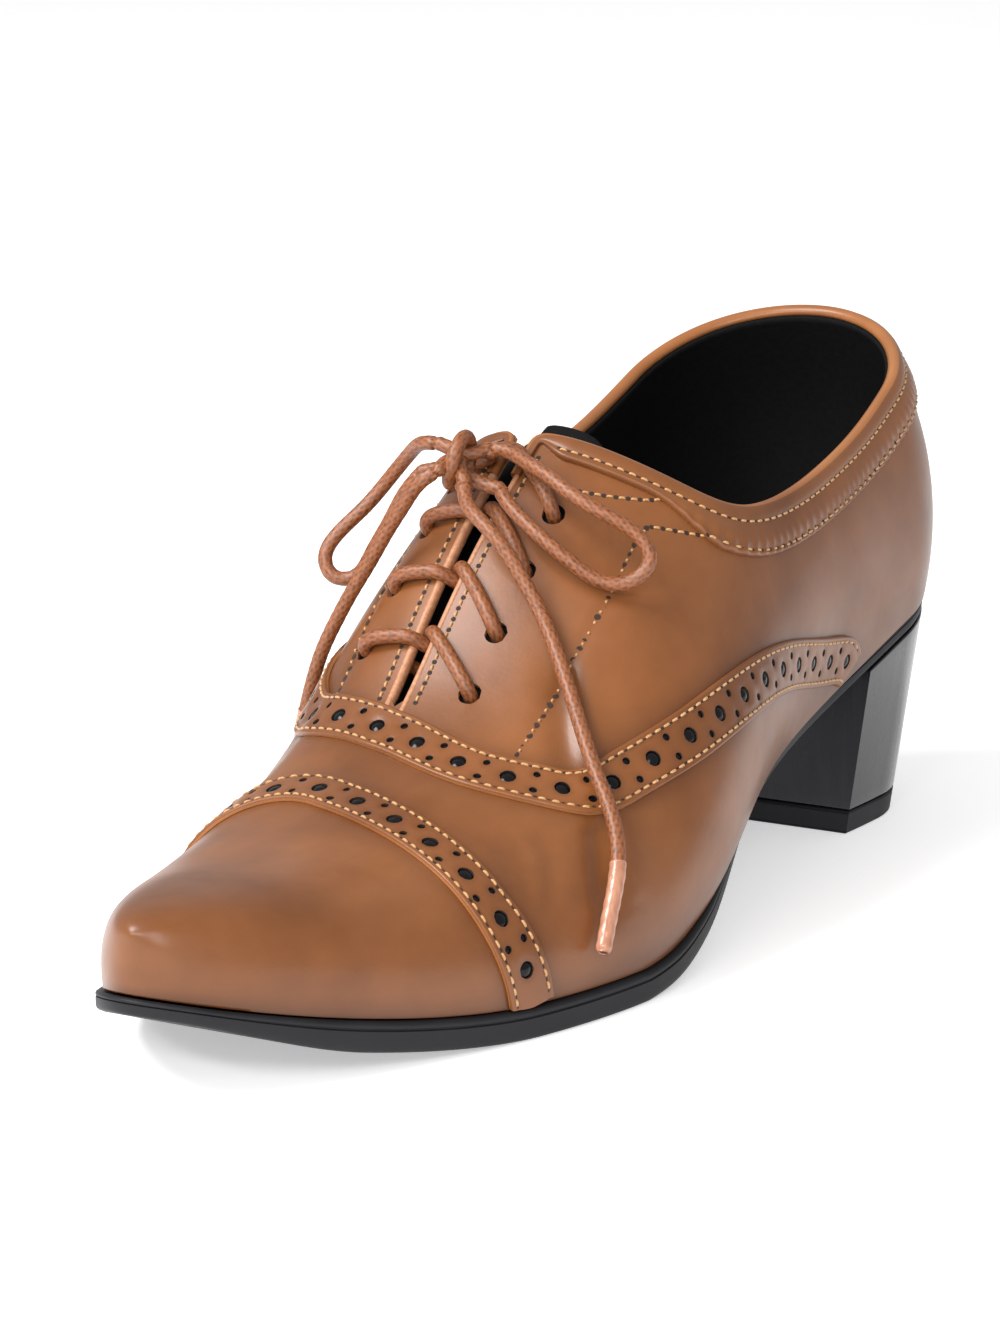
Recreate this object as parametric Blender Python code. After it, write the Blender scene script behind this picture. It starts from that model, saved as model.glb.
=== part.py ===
"""Heeled lace-up oxford, left shoe of a pair, built piece by piece in metres.

+Z is up, the toe points to -Y and the outer side of the foot is +X. The origin is the centre of the
heel's floor face. Every leather piece is read from one function of the last: a station from 0 at the
counter to 1 at the toe tip, and a girth place from -1 at the inner feather edge, over 0 on the crest,
to 1 at the outer feather edge.
"""
import math
import bpy
import bmesh
import numpy as np
from mathutils import Vector

# Driving sizes of the last
SHOE_LENGTH = 0.243
BALL_WIDTH = 0.089
INSTEP_HEIGHT = 0.068
SEAT_HEIGHT = 0.0460
TOE_SPRING = 0.012
TOE_FACE = 0.009
COUNTER_LEAN = 0.010
COUNTER_TUCK = 0.003
COUNTER_BULGE = 0.016

# Leather pieces
UPPER_WALL = 0.0020
COLLAR_BACK = 0.047
TONGUE_WALL = 0.0016
TONGUE_HALF = 0.017
TONGUE_GAP = 0.0010
TONGUE_TIP_SHARE = 0.62
STRIP_WALL = 0.0010
STRIP_GAP = 0.0004
CAP_STRIP_WIDTH = 0.0088
WING_STRIP_WIDTH = 0.0092
COLLAR_BAND_WIDTH = 0.0075
TAB_BAND_WIDTH = 0.0030
COLLAR_BAND_DROP = 0.0012
THROAT_HALF = 0.0024
THROAT_CLOSE = 0.55
TAB_SPREAD = 1.6
EYELET_EDGE = 0.0100
EYELET_WIDTH = 0.0040

# Bottom pieces
SOLE_FORE = 0.0056
SOLE_TIP = 0.0032
SOLE_WAIST = 0.0034
SOLE_SEAT = 0.0030
SOLE_OVERHANG = 0.0012
SEAT_TUCK = 0.0004
WAIST_TUCK = 0.0012
INSOLE_WALL = 0.0025
HEEL_DEPTH = 0.047
HEEL_TAPER = 0.0045
HEEL_BACK_INSET = 0.0060
HEEL_SIDE = 0.020
LIFT_HEIGHT = 0.0045
GAP = 0.0003

# Lace
LACE_WIDTH = 0.0030
LACE_CLEARANCE = 0.0006
KNOT_WIDTH = 0.0060
CROSSING_RISE = 0.014

# Places along the shoe, as stations
THROAT_FRONT = 0.635
TAB_STATION = 0.468
TONGUE_TIP = 0.443
TONGUE_BASE = 0.680
TONGUE_TIP_ROUND = 0.03
TAB_REACH = 0.040
BAND_START = 0.006
BAND_TAPER = (0.415, 0.452)
TREAD_BACK = 0.650
TREAD_FRONT = 0.755
TIP_START = 0.88
SEAT_TO_WAIST = (0.15, 0.30)
WAIST_TO_FORE = (0.42, 0.62)
# Lace levels from the throat's front to the tab: (inner, outer) eyelet
EYELET_STATIONS = ((0.594, 0.618), (0.558, 0.583), (0.521, 0.548), (0.489, 0.512))

# Mesh density
GIRTH_STEPS = 12
BAND_STEPS = 24
BAND_COLUMNS = 4
STRIP_COLUMNS = 4
CAP_STEPS = 33
WING_STEPS = 61
TONGUE_ROWS = 16
TONGUE_COLUMNS = 11
SOLE_COLUMNS = 4
SOLE_STEPS = 44
HEEL_STEPS = 16
SURFACE_SAMPLES = 120
SHARP_ANGLE = math.radians(35)

# Last sections: the halves are shares of BALL_WIDTH, the crest is a share of INSTEP_HEIGHT above the
# feather edge, ridge is how far the crest lies to the inner side, as a share of BALL_WIDTH, full is
# how boxy the section is and tuck is the share of BALL_WIDTH that it pulls under
LAST_COLUMNS = ("station", "inner", "outer", "crest", "ridge", "full", "tuck")
LAST_ROWS = (
    (0.00, 0.380, 0.365, 0.98, 0.040, 0.02, 0.022),
    (0.12, 0.380, 0.365, 1.02, 0.045, 0.02, 0.026),
    (0.25, 0.375, 0.370, 1.15, 0.055, 0.00, 0.050),
    (0.36, 0.380, 0.390, 1.14, 0.070, -0.02, 0.070),
    (0.46, 0.425, 0.435, 1.01, 0.095, -0.02, 0.060),
    (0.55, 0.465, 0.465, 0.800, 0.125, 0.02, 0.040),
    (0.60, 0.478, 0.468, 0.650, 0.140, 0.05, 0.028),
    (0.66, 0.487, 0.466, 0.500, 0.140, 0.10, 0.020),
    (0.76, 0.490, 0.445, 0.385, 0.100, 0.16, 0.018),
    (0.86, 0.465, 0.400, 0.315, 0.060, 0.20, 0.018),
    (1.00, 0.370, 0.330, 0.250, 0.040, 0.20, 0.018),
)
# Bottom line: rise is a share of the seat's height above the forefoot, sole is the outsole's thickness
# from its seat (0) to its forefoot (1), with the waist as a dip under both
BOTTOM_COLUMNS = ("station", "rise")
BOTTOM_ROWS = (
    (0.00, 1.000),
    (0.10, 0.885),
    (0.20, 0.735),
    (0.30, 0.565),
    (0.40, 0.395),
    (0.50, 0.225),
    (0.58, 0.090),
    (0.62, 0.025),
    (TREAD_BACK, 0.000),
)
# Top line: heights above the feather edge, as shares of COLLAR_BACK
RIM_COLUMNS = ("station", "inner", "outer")
RIM_ROWS = (
    (0.00, 1.00, 1.00),
    (0.05, 0.96, 0.97),
    (0.12, 0.90, 0.93),
    (0.20, 0.86, 0.91),
    (0.28, 0.89, 0.93),
    (0.35, 0.97, 0.98),
    (0.41, 1.12, 1.09),
)
# Plan of the toe: share of the length over which it rounds off, and how square the rounding is
TOE_ROUND = 0.46
TOE_POWER = 1.75
CREST_ROUND = 0.12
CREST_POWER = 2.2
HEEL_ROUND = 0.13
TOE_SWING = 0.0085
SWING_START = 0.60
LEAN_REACH = 0.32
TUCK_START = 0.72
LEAN_LIMIT = 1.3
SPRING_POWER = 1.7
SWING_POWER = 1.6
# How far pieces laid on the last may reach towards the feather edge, and the step for slopes
FEATHER_LIMIT = 0.985
SMALL_STEP = 1e-3


def spline(knots, values):
    """Natural cubic curve through the rows of a table."""
    knots = np.asarray(knots, float)
    values = np.asarray(values, float)
    step = np.diff(knots)
    slope = np.diff(values) / step
    count = len(knots)
    matrix = np.eye(count)
    right_side = np.zeros(count)
    for i in range(1, count - 1):
        matrix[i, i - 1:i + 2] = step[i - 1], 2 * (step[i - 1] + step[i]), step[i]
        right_side[i] = 6 * (slope[i] - slope[i - 1])
    bend = np.linalg.solve(matrix, right_side)

    def at(place):
        place = np.asarray(place, float)
        i = np.clip(np.searchsorted(knots, place) - 1, 0, count - 2)
        width = step[i]
        left = (knots[i + 1] - place) / width
        right = (place - knots[i]) / width
        curved = (left ** 3 - left) * bend[i] + (right ** 3 - right) * bend[i + 1]
        return left * values[i] + right * values[i + 1] + curved * width * width / 6

    return at


def column(rows, names, name):
    stations = [row[0] for row in rows]
    return spline(stations, [row[names.index(name)] for row in rows])


LAST = {name: column(LAST_ROWS, LAST_COLUMNS, name) for name in LAST_COLUMNS[1:]}
RISE = column(BOTTOM_ROWS, BOTTOM_COLUMNS, "rise")
BACK_Y = HEEL_BACK_INSET + (HEEL_DEPTH - HEEL_BACK_INSET) / 2


def rounding(share, power):
    """Falls from 1 to 0 as the share grows to 1, with a round end; 2 makes a quarter ellipse."""
    return np.sqrt(1 - np.clip(share, 0, 1) ** power)


def feather(station):
    """Height of the upper's lower edge above the floor."""
    station = np.asarray(station, float)
    rise = np.where(station < TREAD_BACK, RISE(np.minimum(station, TREAD_BACK)), 0.0)
    spring = np.clip((station - TREAD_FRONT) / (1 - TREAD_FRONT), 0, None) ** SPRING_POWER
    return SOLE_FORE + (SEAT_HEIGHT - SOLE_FORE) * rise + TOE_SPRING * spring


def plan_rounding(station):
    toe = rounding((station - 1 + TOE_ROUND) / TOE_ROUND, TOE_POWER)
    heel = rounding((HEEL_ROUND - station) / HEEL_ROUND, 2.0)
    return toe * heel


def crest_height(station):
    """Height of the crest above the feather edge."""
    full_height = LAST["crest"](station) * INSTEP_HEIGHT
    end = rounding((station - 1 + CREST_ROUND) / CREST_ROUND, CREST_POWER)
    return TOE_FACE + (full_height - TOE_FACE) * end


def section_up(angle, full):
    """Height share of a section at an angle from the crest."""
    return np.cos(angle) * (1 + full * np.sin(angle) ** 2)


def last_point(station, girth):
    """Point of the bare last at a station and a girth place."""
    station, girth = np.broadcast_arrays(np.asarray(station, float), np.asarray(girth, float))
    angle = np.abs(girth) * math.pi / 2
    full = LAST["full"](station)
    ends = plan_rounding(station)
    half = np.where(girth > 0, LAST["outer"](station), LAST["inner"](station)) * BALL_WIDTH * ends
    across = np.sin(angle) * (1 + full * np.cos(angle) ** 2)
    under = np.clip((np.abs(girth) - TUCK_START) / (1 - TUCK_START), 0, 1)
    tuck = LAST["tuck"](station) * BALL_WIDTH * ends * under ** 2
    swing = -TOE_SWING * np.clip((station - SWING_START) / (1 - SWING_START), 0, 1) ** SWING_POWER
    ridge = LAST["ridge"](station) * BALL_WIDTH * (1 - across) * ends
    x = swing - ridge + np.sign(girth) * (half * across - tuck)
    above = crest_height(station) * np.maximum(section_up(angle, full), 0)
    over_bulge = np.clip((above - COUNTER_BULGE) / (COLLAR_BACK - COUNTER_BULGE), 0, LEAN_LIMIT)
    under_bulge = np.clip(1 - above / COUNTER_BULGE, 0, 1)
    fade = np.clip(1 - station / LEAN_REACH, 0, 1) ** 2
    lean = (COUNTER_LEAN * over_bulge ** 2 + COUNTER_TUCK * under_bulge ** 2) * fade
    y = BACK_Y - SHOE_LENGTH * station - lean
    return np.stack([x, y, feather(station) + above], -1)


def last_normal(station, girth):
    """Outward unit normal of the last."""
    station, girth = np.broadcast_arrays(np.asarray(station, float), np.asarray(girth, float))
    ahead, behind = np.minimum(station + SMALL_STEP, 1.0), np.maximum(station - SMALL_STEP, 0.0)
    above, below = np.minimum(girth + SMALL_STEP, 1.0), np.maximum(girth - SMALL_STEP, -1.0)
    along = last_point(ahead, girth) - last_point(behind, girth)
    round_section = last_point(station, above) - last_point(station, below)
    normal = np.cross(along, round_section)
    ends = (station <= 0) | (station >= 1)
    normal[..., 0] = np.where(ends, 0.0, normal[..., 0])
    return normal / np.linalg.norm(normal, axis=-1, keepdims=True)


def on_last(station, girth, out=0.0):
    """Point at a distance outside the last's surface."""
    return last_point(station, girth) + out * last_normal(station, girth)


def girth_at_height(station, above):
    """Girth place where the section reaches a height above the feather edge."""
    angles = np.linspace(0, math.pi / 2, SURFACE_SAMPLES)
    ups = crest_height(station) * section_up(angles, LAST["full"](station))
    return float(np.interp(-above, -ups, angles)) * 2 / math.pi


def girth_at_half(station, side, across):
    """Girth place at a distance across from the crest, along the surface."""
    places = np.linspace(0, 0.9, SURFACE_SAMPLES)
    points = last_point(np.full(SURFACE_SAMPLES, station), side * places)
    lengths = np.concatenate([[0], np.cumsum(np.linalg.norm(np.diff(points, axis=0), axis=1))])
    return float(np.interp(across, lengths, places))


def rim_curve(side):
    """Girth place of the upper's top edge at each station, from the counter to the throat."""
    name = "outer" if side > 0 else "inner"
    slot = RIM_COLUMNS.index(name)
    stations = [row[0] for row in RIM_ROWS] + [TAB_STATION]
    places = [girth_at_height(row[0], row[slot] * COLLAR_BACK) for row in RIM_ROWS]
    places.append(girth_at_half(TAB_STATION, side, THROAT_HALF * TAB_SPREAD))
    collar = spline(stations, places)

    def at(station):
        share = min((THROAT_FRONT - station) / (THROAT_FRONT - TAB_STATION), 1.0)
        slit = girth_at_half(station, side, THROAT_HALF * (THROAT_CLOSE + (1 - THROAT_CLOSE) * share))
        if station >= TAB_STATION:
            return slit
        return max(float(collar(station)), slit)

    return at


RIM = {side: rim_curve(side) for side in (-1, 1)}


# Mesh helpers

def material(name, colour, roughness, metallic=0.0):
    made = bpy.data.materials.new(name)
    made.use_nodes = True
    shader = made.node_tree.nodes["Principled BSDF"]
    shader.inputs["Base Color"].default_value = (*colour, 1.0)
    shader.inputs["Roughness"].default_value = roughness
    shader.inputs["Metallic"].default_value = metallic
    made.diffuse_color = (*colour, 1.0)
    return made


def add_mesh(name, builder, finish):
    """Turn a bmesh into a named object with outward faces."""
    bmesh.ops.remove_doubles(builder, verts=builder.verts, dist=1e-5)
    bmesh.ops.dissolve_degenerate(builder, edges=builder.edges, dist=1e-6)
    bmesh.ops.recalc_face_normals(builder, faces=builder.faces)
    mesh = bpy.data.meshes.new(name)
    builder.to_mesh(mesh)
    builder.free()
    mesh.shade_smooth()
    mesh.set_sharp_from_angle(angle=SHARP_ANGLE)
    mesh.materials.append(finish)
    made = bpy.data.objects.new(name, mesh)
    bpy.context.collection.objects.link(made)
    return made


def grid_faces(builder, rows):
    """Quads between rows of points of equal count."""
    made = [[builder.verts.new(point) for point in row] for row in rows]
    for near, far in zip(made, made[1:]):
        for i in range(len(near) - 1):
            builder.faces.new((near[i], far[i], far[i + 1], near[i + 1]))
    return made


def thicken(builder, depth):
    """Close an open sheet with a second skin, a depth inside the first along its normals."""
    bmesh.ops.remove_doubles(builder, verts=builder.verts, dist=1e-5)
    builder.normal_update()
    outer_faces = list(builder.faces)
    inner = {vert: builder.verts.new(vert.co - vert.normal * depth) for vert in list(builder.verts)}
    borders = [edge for edge in builder.edges if edge.is_boundary]
    for face in outer_faces:
        builder.faces.new([inner[vert] for vert in reversed(face.verts)])
    for edge in borders:
        loop = edge.link_loops[0]
        start, end = loop.vert, loop.link_loop_next.vert
        builder.faces.new((end, start, inner[start], inner[end]))


def sheet(name, rows, depth, finish):
    """A curved sheet of leather: its outer skin is a grid, its inner skin lies a depth inside."""
    builder = bmesh.new()
    grid_faces(builder, rows)
    thicken(builder, depth)
    return add_mesh(name, builder, finish)


def section_loft(name, sections, finish):
    """Solid through closed sections of equal count, capped where an end section has a width."""
    builder = bmesh.new()
    rings = [[builder.verts.new(point) for point in section] for section in sections]
    for near, far in zip(rings, rings[1:]):
        for i in range(len(near)):
            after = (i + 1) % len(near)
            builder.faces.new((near[i], near[after], far[after], far[i]))
    for ring in (rings[0], rings[-1]):
        spread = max((vert.co - ring[0].co).length for vert in ring)
        half = len(ring) // 2
        if abs(ring[0].co.x - ring[half - 1].co.x) > 1e-4 and spread > 1e-4:
            for i in range(half - 1):
                builder.faces.new((ring[i], ring[i + 1], ring[-2 - i], ring[-1 - i]))
    return add_mesh(name, builder, finish)


# Upper

def station_places():
    """Stations, closer together at both ends and at the facing tab, with one at the throat's front."""
    counter = HEEL_ROUND * (1 - np.cos(np.linspace(0, math.pi / 2, 9)))
    collar = np.linspace(HEEL_ROUND, TAB_STATION - TAB_REACH, 6)
    corner = TAB_STATION - TAB_REACH * (1 - np.sin(np.linspace(0, math.pi / 2, 8)))
    tab = np.append(corner, TAB_STATION + TAB_REACH / 2)
    throat = np.linspace(TAB_STATION + TAB_REACH / 2, THROAT_FRONT, 8)
    vamp = np.linspace(THROAT_FRONT, 1 - CREST_ROUND, 8)
    toe = 1 - CREST_ROUND * (1 - np.sin(np.linspace(0, math.pi / 2, 10)))
    return np.concatenate([counter, collar[1:], tab[1:], throat[1:], vamp[1:], toe[1:]])


def make_upper(finish):
    """One hollow solid, open at the collar, down the throat and underneath."""
    builder = bmesh.new()
    for side in (-1, 1):
        rows = []
        for station in station_places():
            top = RIM[side](station) if station < THROAT_FRONT else 0.0
            places = side * np.linspace(top, 1.0, GIRTH_STEPS + 1)
            rows.append(last_point(np.full(GIRTH_STEPS + 1, station), places))
        if side > 0:
            rows = [row[::-1] for row in rows]
        grid_faces(builder, rows)
    bmesh.ops.remove_doubles(builder, verts=builder.verts, dist=1e-5)
    bmesh.ops.recalc_face_normals(builder, faces=builder.faces)
    builder.normal_update()
    front = min(builder.verts, key=lambda vert: vert.co.y)
    if front.normal.y > 0:
        bmesh.ops.reverse_faces(builder, faces=builder.faces)
    thicken(builder, UPPER_WALL)
    return add_mesh("upper", builder, finish)


def eyelet_place(side, index):
    station = EYELET_STATIONS[index][side > 0]
    return station, side * girth_at_half(station, side, THROAT_HALF + EYELET_EDGE)


def punch_eyelets(upper):
    """Cut the plain punched lace holes through both facings."""
    builder = bmesh.new()
    for side in (-1, 1):
        for index in range(len(EYELET_STATIONS)):
            station, girth = eyelet_place(side, index)
            centre = Vector(last_point(station, girth))
            normal = Vector(last_normal(station, girth))
            turn = normal.to_track_quat("Z", "Y").to_matrix().to_4x4()
            turn.translation = centre
            bmesh.ops.create_cone(builder, cap_ends=True, segments=8, radius1=EYELET_WIDTH / 2,
                                  radius2=EYELET_WIDTH / 2, depth=UPPER_WALL * 4, matrix=turn)
    mesh = bpy.data.meshes.new("eyelet_cutter")
    builder.to_mesh(mesh)
    builder.free()
    cutter = bpy.data.objects.new("eyelet_cutter", mesh)
    bpy.context.collection.objects.link(cutter)
    cutter.hide_render = True
    cutter.display_type = "WIRE"
    cut = upper.modifiers.new("eyelets", "BOOLEAN")
    cut.operation = "DIFFERENCE"
    cut.object = cutter
    cut.use_self = True


def make_tongue(finish):
    rows = []
    for station in np.linspace(TONGUE_TIP, TONGUE_BASE, TONGUE_ROWS):
        tip = min((station - TONGUE_TIP) / TONGUE_TIP_ROUND, 1.0)
        reach = TONGUE_HALF * (TONGUE_TIP_SHARE + (1 - TONGUE_TIP_SHARE) * math.sqrt(tip * (2 - tip)))
        inner = girth_at_half(station, -1, reach)
        outer = girth_at_half(station, 1, reach)
        places = np.linspace(-inner, outer, TONGUE_COLUMNS)
        rows.append(on_last(np.full(TONGUE_COLUMNS, station), places, -UPPER_WALL - TONGUE_GAP))
    return sheet("tongue", rows, TONGUE_WALL, finish)


# Overlaid strips

def follow(path, steps):
    """Station and girth place along a curve through a short table of places."""
    path = np.asarray(path, float)
    share = np.linspace(0, 1, len(path))
    fine = np.linspace(0, 1, steps)
    return spline(share, path[:, 0])(fine), spline(share, path[:, 1])(fine)


def beside(station, girth, along, distance, out):
    """Surface point at a distance beside a path, on the side that is left of its direction."""
    point = last_point(station, girth)
    by_station = (last_point(station + SMALL_STEP, girth) - point) / SMALL_STEP
    by_girth = (last_point(station, girth + SMALL_STEP) - point) / SMALL_STEP
    sideways = np.cross(np.cross(by_station, by_girth), along)
    sideways *= distance / np.linalg.norm(sideways)
    base = np.stack([by_station, by_girth], 1)
    change = np.linalg.lstsq(base, sideways, rcond=None)[0]
    girth = float(np.clip(girth + change[1], -FEATHER_LIMIT, FEATHER_LIMIT))
    return on_last(station + change[0], girth, out)


def make_strip(name, path, width, steps, finish):
    """A strip of leather laid on the upper along a path."""
    stations, girths = follow(path, steps)
    centre = last_point(stations, girths)
    along = np.gradient(centre, axis=0)
    rows = []
    for i in range(steps):
        row = [beside(stations[i], girths[i], along[i], distance, STRIP_GAP + STRIP_WALL)
               for distance in np.linspace(-width / 2, width / 2, STRIP_COLUMNS)]
        rows.append(row)
    return sheet(name, rows, STRIP_WALL, finish)


CAP_PATH = ((0.745, -0.965), (0.742, -0.70), (0.727, -0.38), (0.722, -0.12), (0.739, 0.10), (0.768, 0.40),
            (0.774, 0.70), (0.762, 0.965))
WING_PATH = ((0.262, -0.925), (0.330, -0.88), (0.430, -0.77), (0.520, -0.66), (0.585, -0.54), (0.622, -0.40),
             (0.643, -0.18), (0.656, 0.04), (0.668, 0.24), (0.645, 0.46), (0.609, 0.55), (0.543, 0.66),
             (0.428, 0.775), (0.325, 0.88), (0.262, 0.925))


def band_back(side, top):
    """The band's row at the centre of the counter, straight down from the rim."""
    girths = np.linspace(top, 1, SURFACE_SAMPLES)
    heights = last_point(np.zeros(SURFACE_SAMPLES), girths)[:, 2]
    drops = COLLAR_BAND_DROP + COLLAR_BAND_WIDTH * np.linspace(0, 1, BAND_COLUMNS)
    places = np.interp(drops, heights[0] - heights, girths)
    return on_last(np.zeros(BAND_COLUMNS), side * places, STRIP_GAP + STRIP_WALL)


def make_collar_band(finish):
    """Band sewn round the top line, from one facing tab round the counter to the other."""
    rows = []
    out = STRIP_GAP + STRIP_WALL
    ends = TAB_STATION - BAND_START
    stations = ends / 2 * (1 - np.cos(np.linspace(0, math.pi, BAND_STEPS)))
    widths = blend(COLLAR_BAND_WIDTH, TAB_BAND_WIDTH, *BAND_TAPER, stations)
    for side in (-1, 1):
        rim = np.array([RIM[side](station) for station in stations])
        line = last_point(stations, side * rim)
        along = -side * np.gradient(line, axis=0)
        part = [band_back(side, rim[0])]
        for i in range(1, BAND_STEPS):
            drops = COLLAR_BAND_DROP + widths[i] * np.linspace(0, 1, BAND_COLUMNS)
            part.append([beside(stations[i], side * rim[i], along[i], -drop, out) for drop in drops])
        rows = part[::-1] if side < 0 else rows + part[1:]
    return sheet("collar_band", rows, STRIP_WALL, finish)


# Lace

def tube(name, points, width, finish):
    """Round cord along a smooth curve through a few points."""
    points = np.asarray(points, float)
    share = np.concatenate([[0], np.cumsum(np.linalg.norm(np.diff(points, axis=0), axis=1))])
    through = [spline(share, points[:, axis]) for axis in range(3)]
    count = max(4, int(share[-1] / (width * 2.2)) + 1)
    places = np.linspace(0, share[-1], count)
    curve = bpy.data.curves.new(name, "CURVE")
    curve.dimensions = "3D"
    curve.bevel_depth = width / 2
    curve.bevel_resolution = 2
    curve.use_fill_caps = True
    curve.render_resolution_u = 0
    line = curve.splines.new("POLY")
    line.points.add(count - 1)
    for i, place in enumerate(places):
        line.points[i].co = (*[float(axis(place)) for axis in through], 1.0)
    curve.materials.append(finish)
    made = bpy.data.objects.new(name, curve)
    bpy.context.collection.objects.link(made)
    return made


def make_crossings(finish):
    """Each level's two bars, from over its eyelets to where they meet and dive at the gap."""
    for index in range(len(EYELET_STATIONS)):
        over_band = STRIP_GAP + STRIP_WALL if index == len(EYELET_STATIONS) - 1 else 0.0
        out = LACE_WIDTH / 2 + LACE_CLEARANCE + over_band
        points = []
        apex = sum(EYELET_STATIONS[index]) / 2 - CROSSING_RISE
        for side in (-1, 1):
            station, girth = eyelet_place(side, index)
            shares = np.array((1.0, 0.75, 0.5, 0.25, 0.0))
            stations = apex + (station - apex) * shares ** 1.2
            part = on_last(stations, girth * shares, out)
            points = list(part[:-1]) if side < 0 else points + list(part[::-1])
        tube(f"lace_crossing_{index + 1}", points, LACE_WIDTH, finish)


# The bow's knot, loops and ends: points in millimetres
LACE_ROUTES = {
    "lace_loop_outer": (
        (-10.6, -98.1, 83.6), (-8.0, -97.6, 83.6), (-3, -99.4, 82.6), (3, -102, 81), (9, -103.8, 78.4),
        (15, -103.3, 75.5), (20, -101, 72), (22.5, -101, 68), (20.5, -103, 64.5), (16, -105, 64), (11, -107, 67),
        (6, -107.5, 70.5), (1.5, -106.5, 73.2), (-3, -104.6, 75.8), (-6.0, -102.4, 77.8)),
    "lace_loop_inner": (
        (-18.2, -101.4, 84.4), (-20.8, -101.0, 84.3), (-26, -97.6, 81.8), (-31, -96.5, 76.5), (-35, -99, 71),
        (-38.5, -102.5, 66.5), (-39.5, -105, 62.5), (-37.4, -105.6, 59.7), (-34, -104.6, 59.7), (-30.8, -103.8, 64),
        (-27.6, -102.8, 70), (-24.3, -103, 75.5), (-20.6, -103.4, 79.6)),
    "lace_end_inner": (
        (-14.9, -107.6, 81.2), (-17.6, -108.9, 79.2), (-21, -108.8, 75), (-24.5, -108.8, 69.8), (-28, -108.9, 64),
        (-31.5, -109, 58.5), (-35.5, -108.5, 52), (-38.5, -108, 46.5), (-41, -107.5, 40), (-42.8, -107.2, 33.5),
        (-43.7, -107, 26.5), (-43.6, -106.8, 19.5)),
    "lace_end_outer": (
        (-10.8, -106.2, 79.3), (-8.7, -109.1, 76.4), (-4.8, -111.8, 74.2), (0, -113.2, 70.8), (4.3, -113.5, 65.5),
        (8.5, -114.5, 60), (14, -118, 53), (20, -123, 45.5), (27, -129, 37), (33, -134, 30), (35.8, -138.5, 24),
        (36.8, -143, 18), (37.6, -147, 12.5)),
}
KNOT_ROUTE = ((-15.6, -97.0, 84.4), (-13.2, -102.6, 83.4), (-11.0, -106.0, 79.6))


def make_bow(finish):
    for name, route in LACE_ROUTES.items():
        tube(name, np.array(route) / 1000, LACE_WIDTH, finish)
    tube("lace_knot", np.array(KNOT_ROUTE) / 1000, KNOT_WIDTH, finish)


# Bottom

def plan_edge(stations, out_of_feather):
    """Points of the feather line, moved outward in plan by a distance at each station."""
    edges = {}
    for side in (-1, 1):
        points = last_point(stations, np.full(len(stations), float(side)))
        points[:, 2] = 0.0
        along = np.gradient(points, stations, axis=0)
        along[0] = along[-1] = (0.0, 0.0, 0.0)
        outward = np.stack([-side * along[:, 1], side * along[:, 0], np.zeros(len(stations))], 1)
        outward[0] = (0.0, 1.0, 0.0)
        outward[-1] = (0.0, -1.0, 0.0) if stations[-1] >= 1 else outward[-2]
        outward /= np.linalg.norm(outward, axis=1, keepdims=True)
        edges[side] = points + outward * np.asarray(out_of_feather)[:, None]
    return edges[-1], edges[1]


def blend(low, high, start, end, station):
    share = np.clip((np.asarray(station) - start) / (end - start), 0, 1)
    return low + (high - low) * share * share * (3 - 2 * share)


def sole_thickness(station):
    to_waist = blend(SOLE_SEAT, SOLE_WAIST, *SEAT_TO_WAIST, station)
    to_forefoot = blend(to_waist, SOLE_FORE, *WAIST_TO_FORE, station)
    return to_forefoot + blend(0.0, SOLE_TIP - SOLE_FORE, TIP_START, 1.0, station)


def sole_out(station):
    """How far the outsole stands beyond the feather line: tucked at the waist, proud at the forefoot."""
    heel = blend(-SEAT_TUCK, -WAIST_TUCK, *SEAT_TO_WAIST, station)
    return blend(heel, SOLE_OVERHANG, *WAIST_TO_FORE, station)


def sole_stations():
    """Stations of the whole sole, close together at both ends, with one at each end of the tread."""
    places = 0.5 - 0.5 * np.cos(np.linspace(0, math.pi, SOLE_STEPS + 1))
    for mark in (TREAD_BACK, TREAD_FRONT):
        places[int(np.argmin(np.abs(places - mark)))] = mark
    return places


def plate_sections(inner, outer, top, bottom):
    """Closed sections of a plate between two edges, each with its top and bottom heights."""
    sections = []
    shares = np.linspace(0, 1, SOLE_COLUMNS + 1)[:, None]
    for i in range(len(inner)):
        across = inner[i] + (outer[i] - inner[i]) * shares
        upper_row = across.copy()
        lower_row = across.copy()
        upper_row[:, 2] = top[i]
        lower_row[:, 2] = bottom[i]
        sections.append(np.concatenate([upper_row, lower_row[::-1]]))
    return sections


def make_outsole(finish):
    stations = sole_stations()
    inner, outer = plan_edge(stations, sole_out(stations))
    top = feather(stations) - GAP
    bottom = np.maximum(feather(stations) - sole_thickness(stations), 0.0)
    return section_loft("outsole", plate_sections(inner, outer, top, bottom), finish)


def make_insole(finish):
    stations = sole_stations()
    out = np.full(len(stations), -UPPER_WALL - 4 * GAP)
    inner, outer = plan_edge(stations, out)
    base = feather(stations)
    return section_loft("insole", plate_sections(inner, outer, base + INSOLE_WALL, base), finish)


def heel_edges():
    """Edges of the heel under the seat and on the floor, row by row from the back to the breast."""
    end = HEEL_DEPTH / SHOE_LENGTH
    stations = end * (1 - np.cos(np.linspace(0, math.pi / 2, HEEL_STEPS + 1)))
    inner, outer = plan_edge(stations, sole_out(stations))
    seat_z = feather(stations) - sole_thickness(stations) - GAP
    floor_inner, floor_outer = inner.copy(), outer.copy()
    share = (BACK_Y - inner[:, 1]) / HEEL_DEPTH
    for edge, side in ((floor_inner, -1), (floor_outer, 1)):
        edge[:, 0] -= side * HEEL_TAPER * np.clip(np.abs(edge[:, 0]) / HEEL_SIDE, 0, 1)
        edge[:, 1] -= HEEL_BACK_INSET * (1 - share)
    return inner, outer, seat_z, floor_inner, floor_outer


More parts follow.
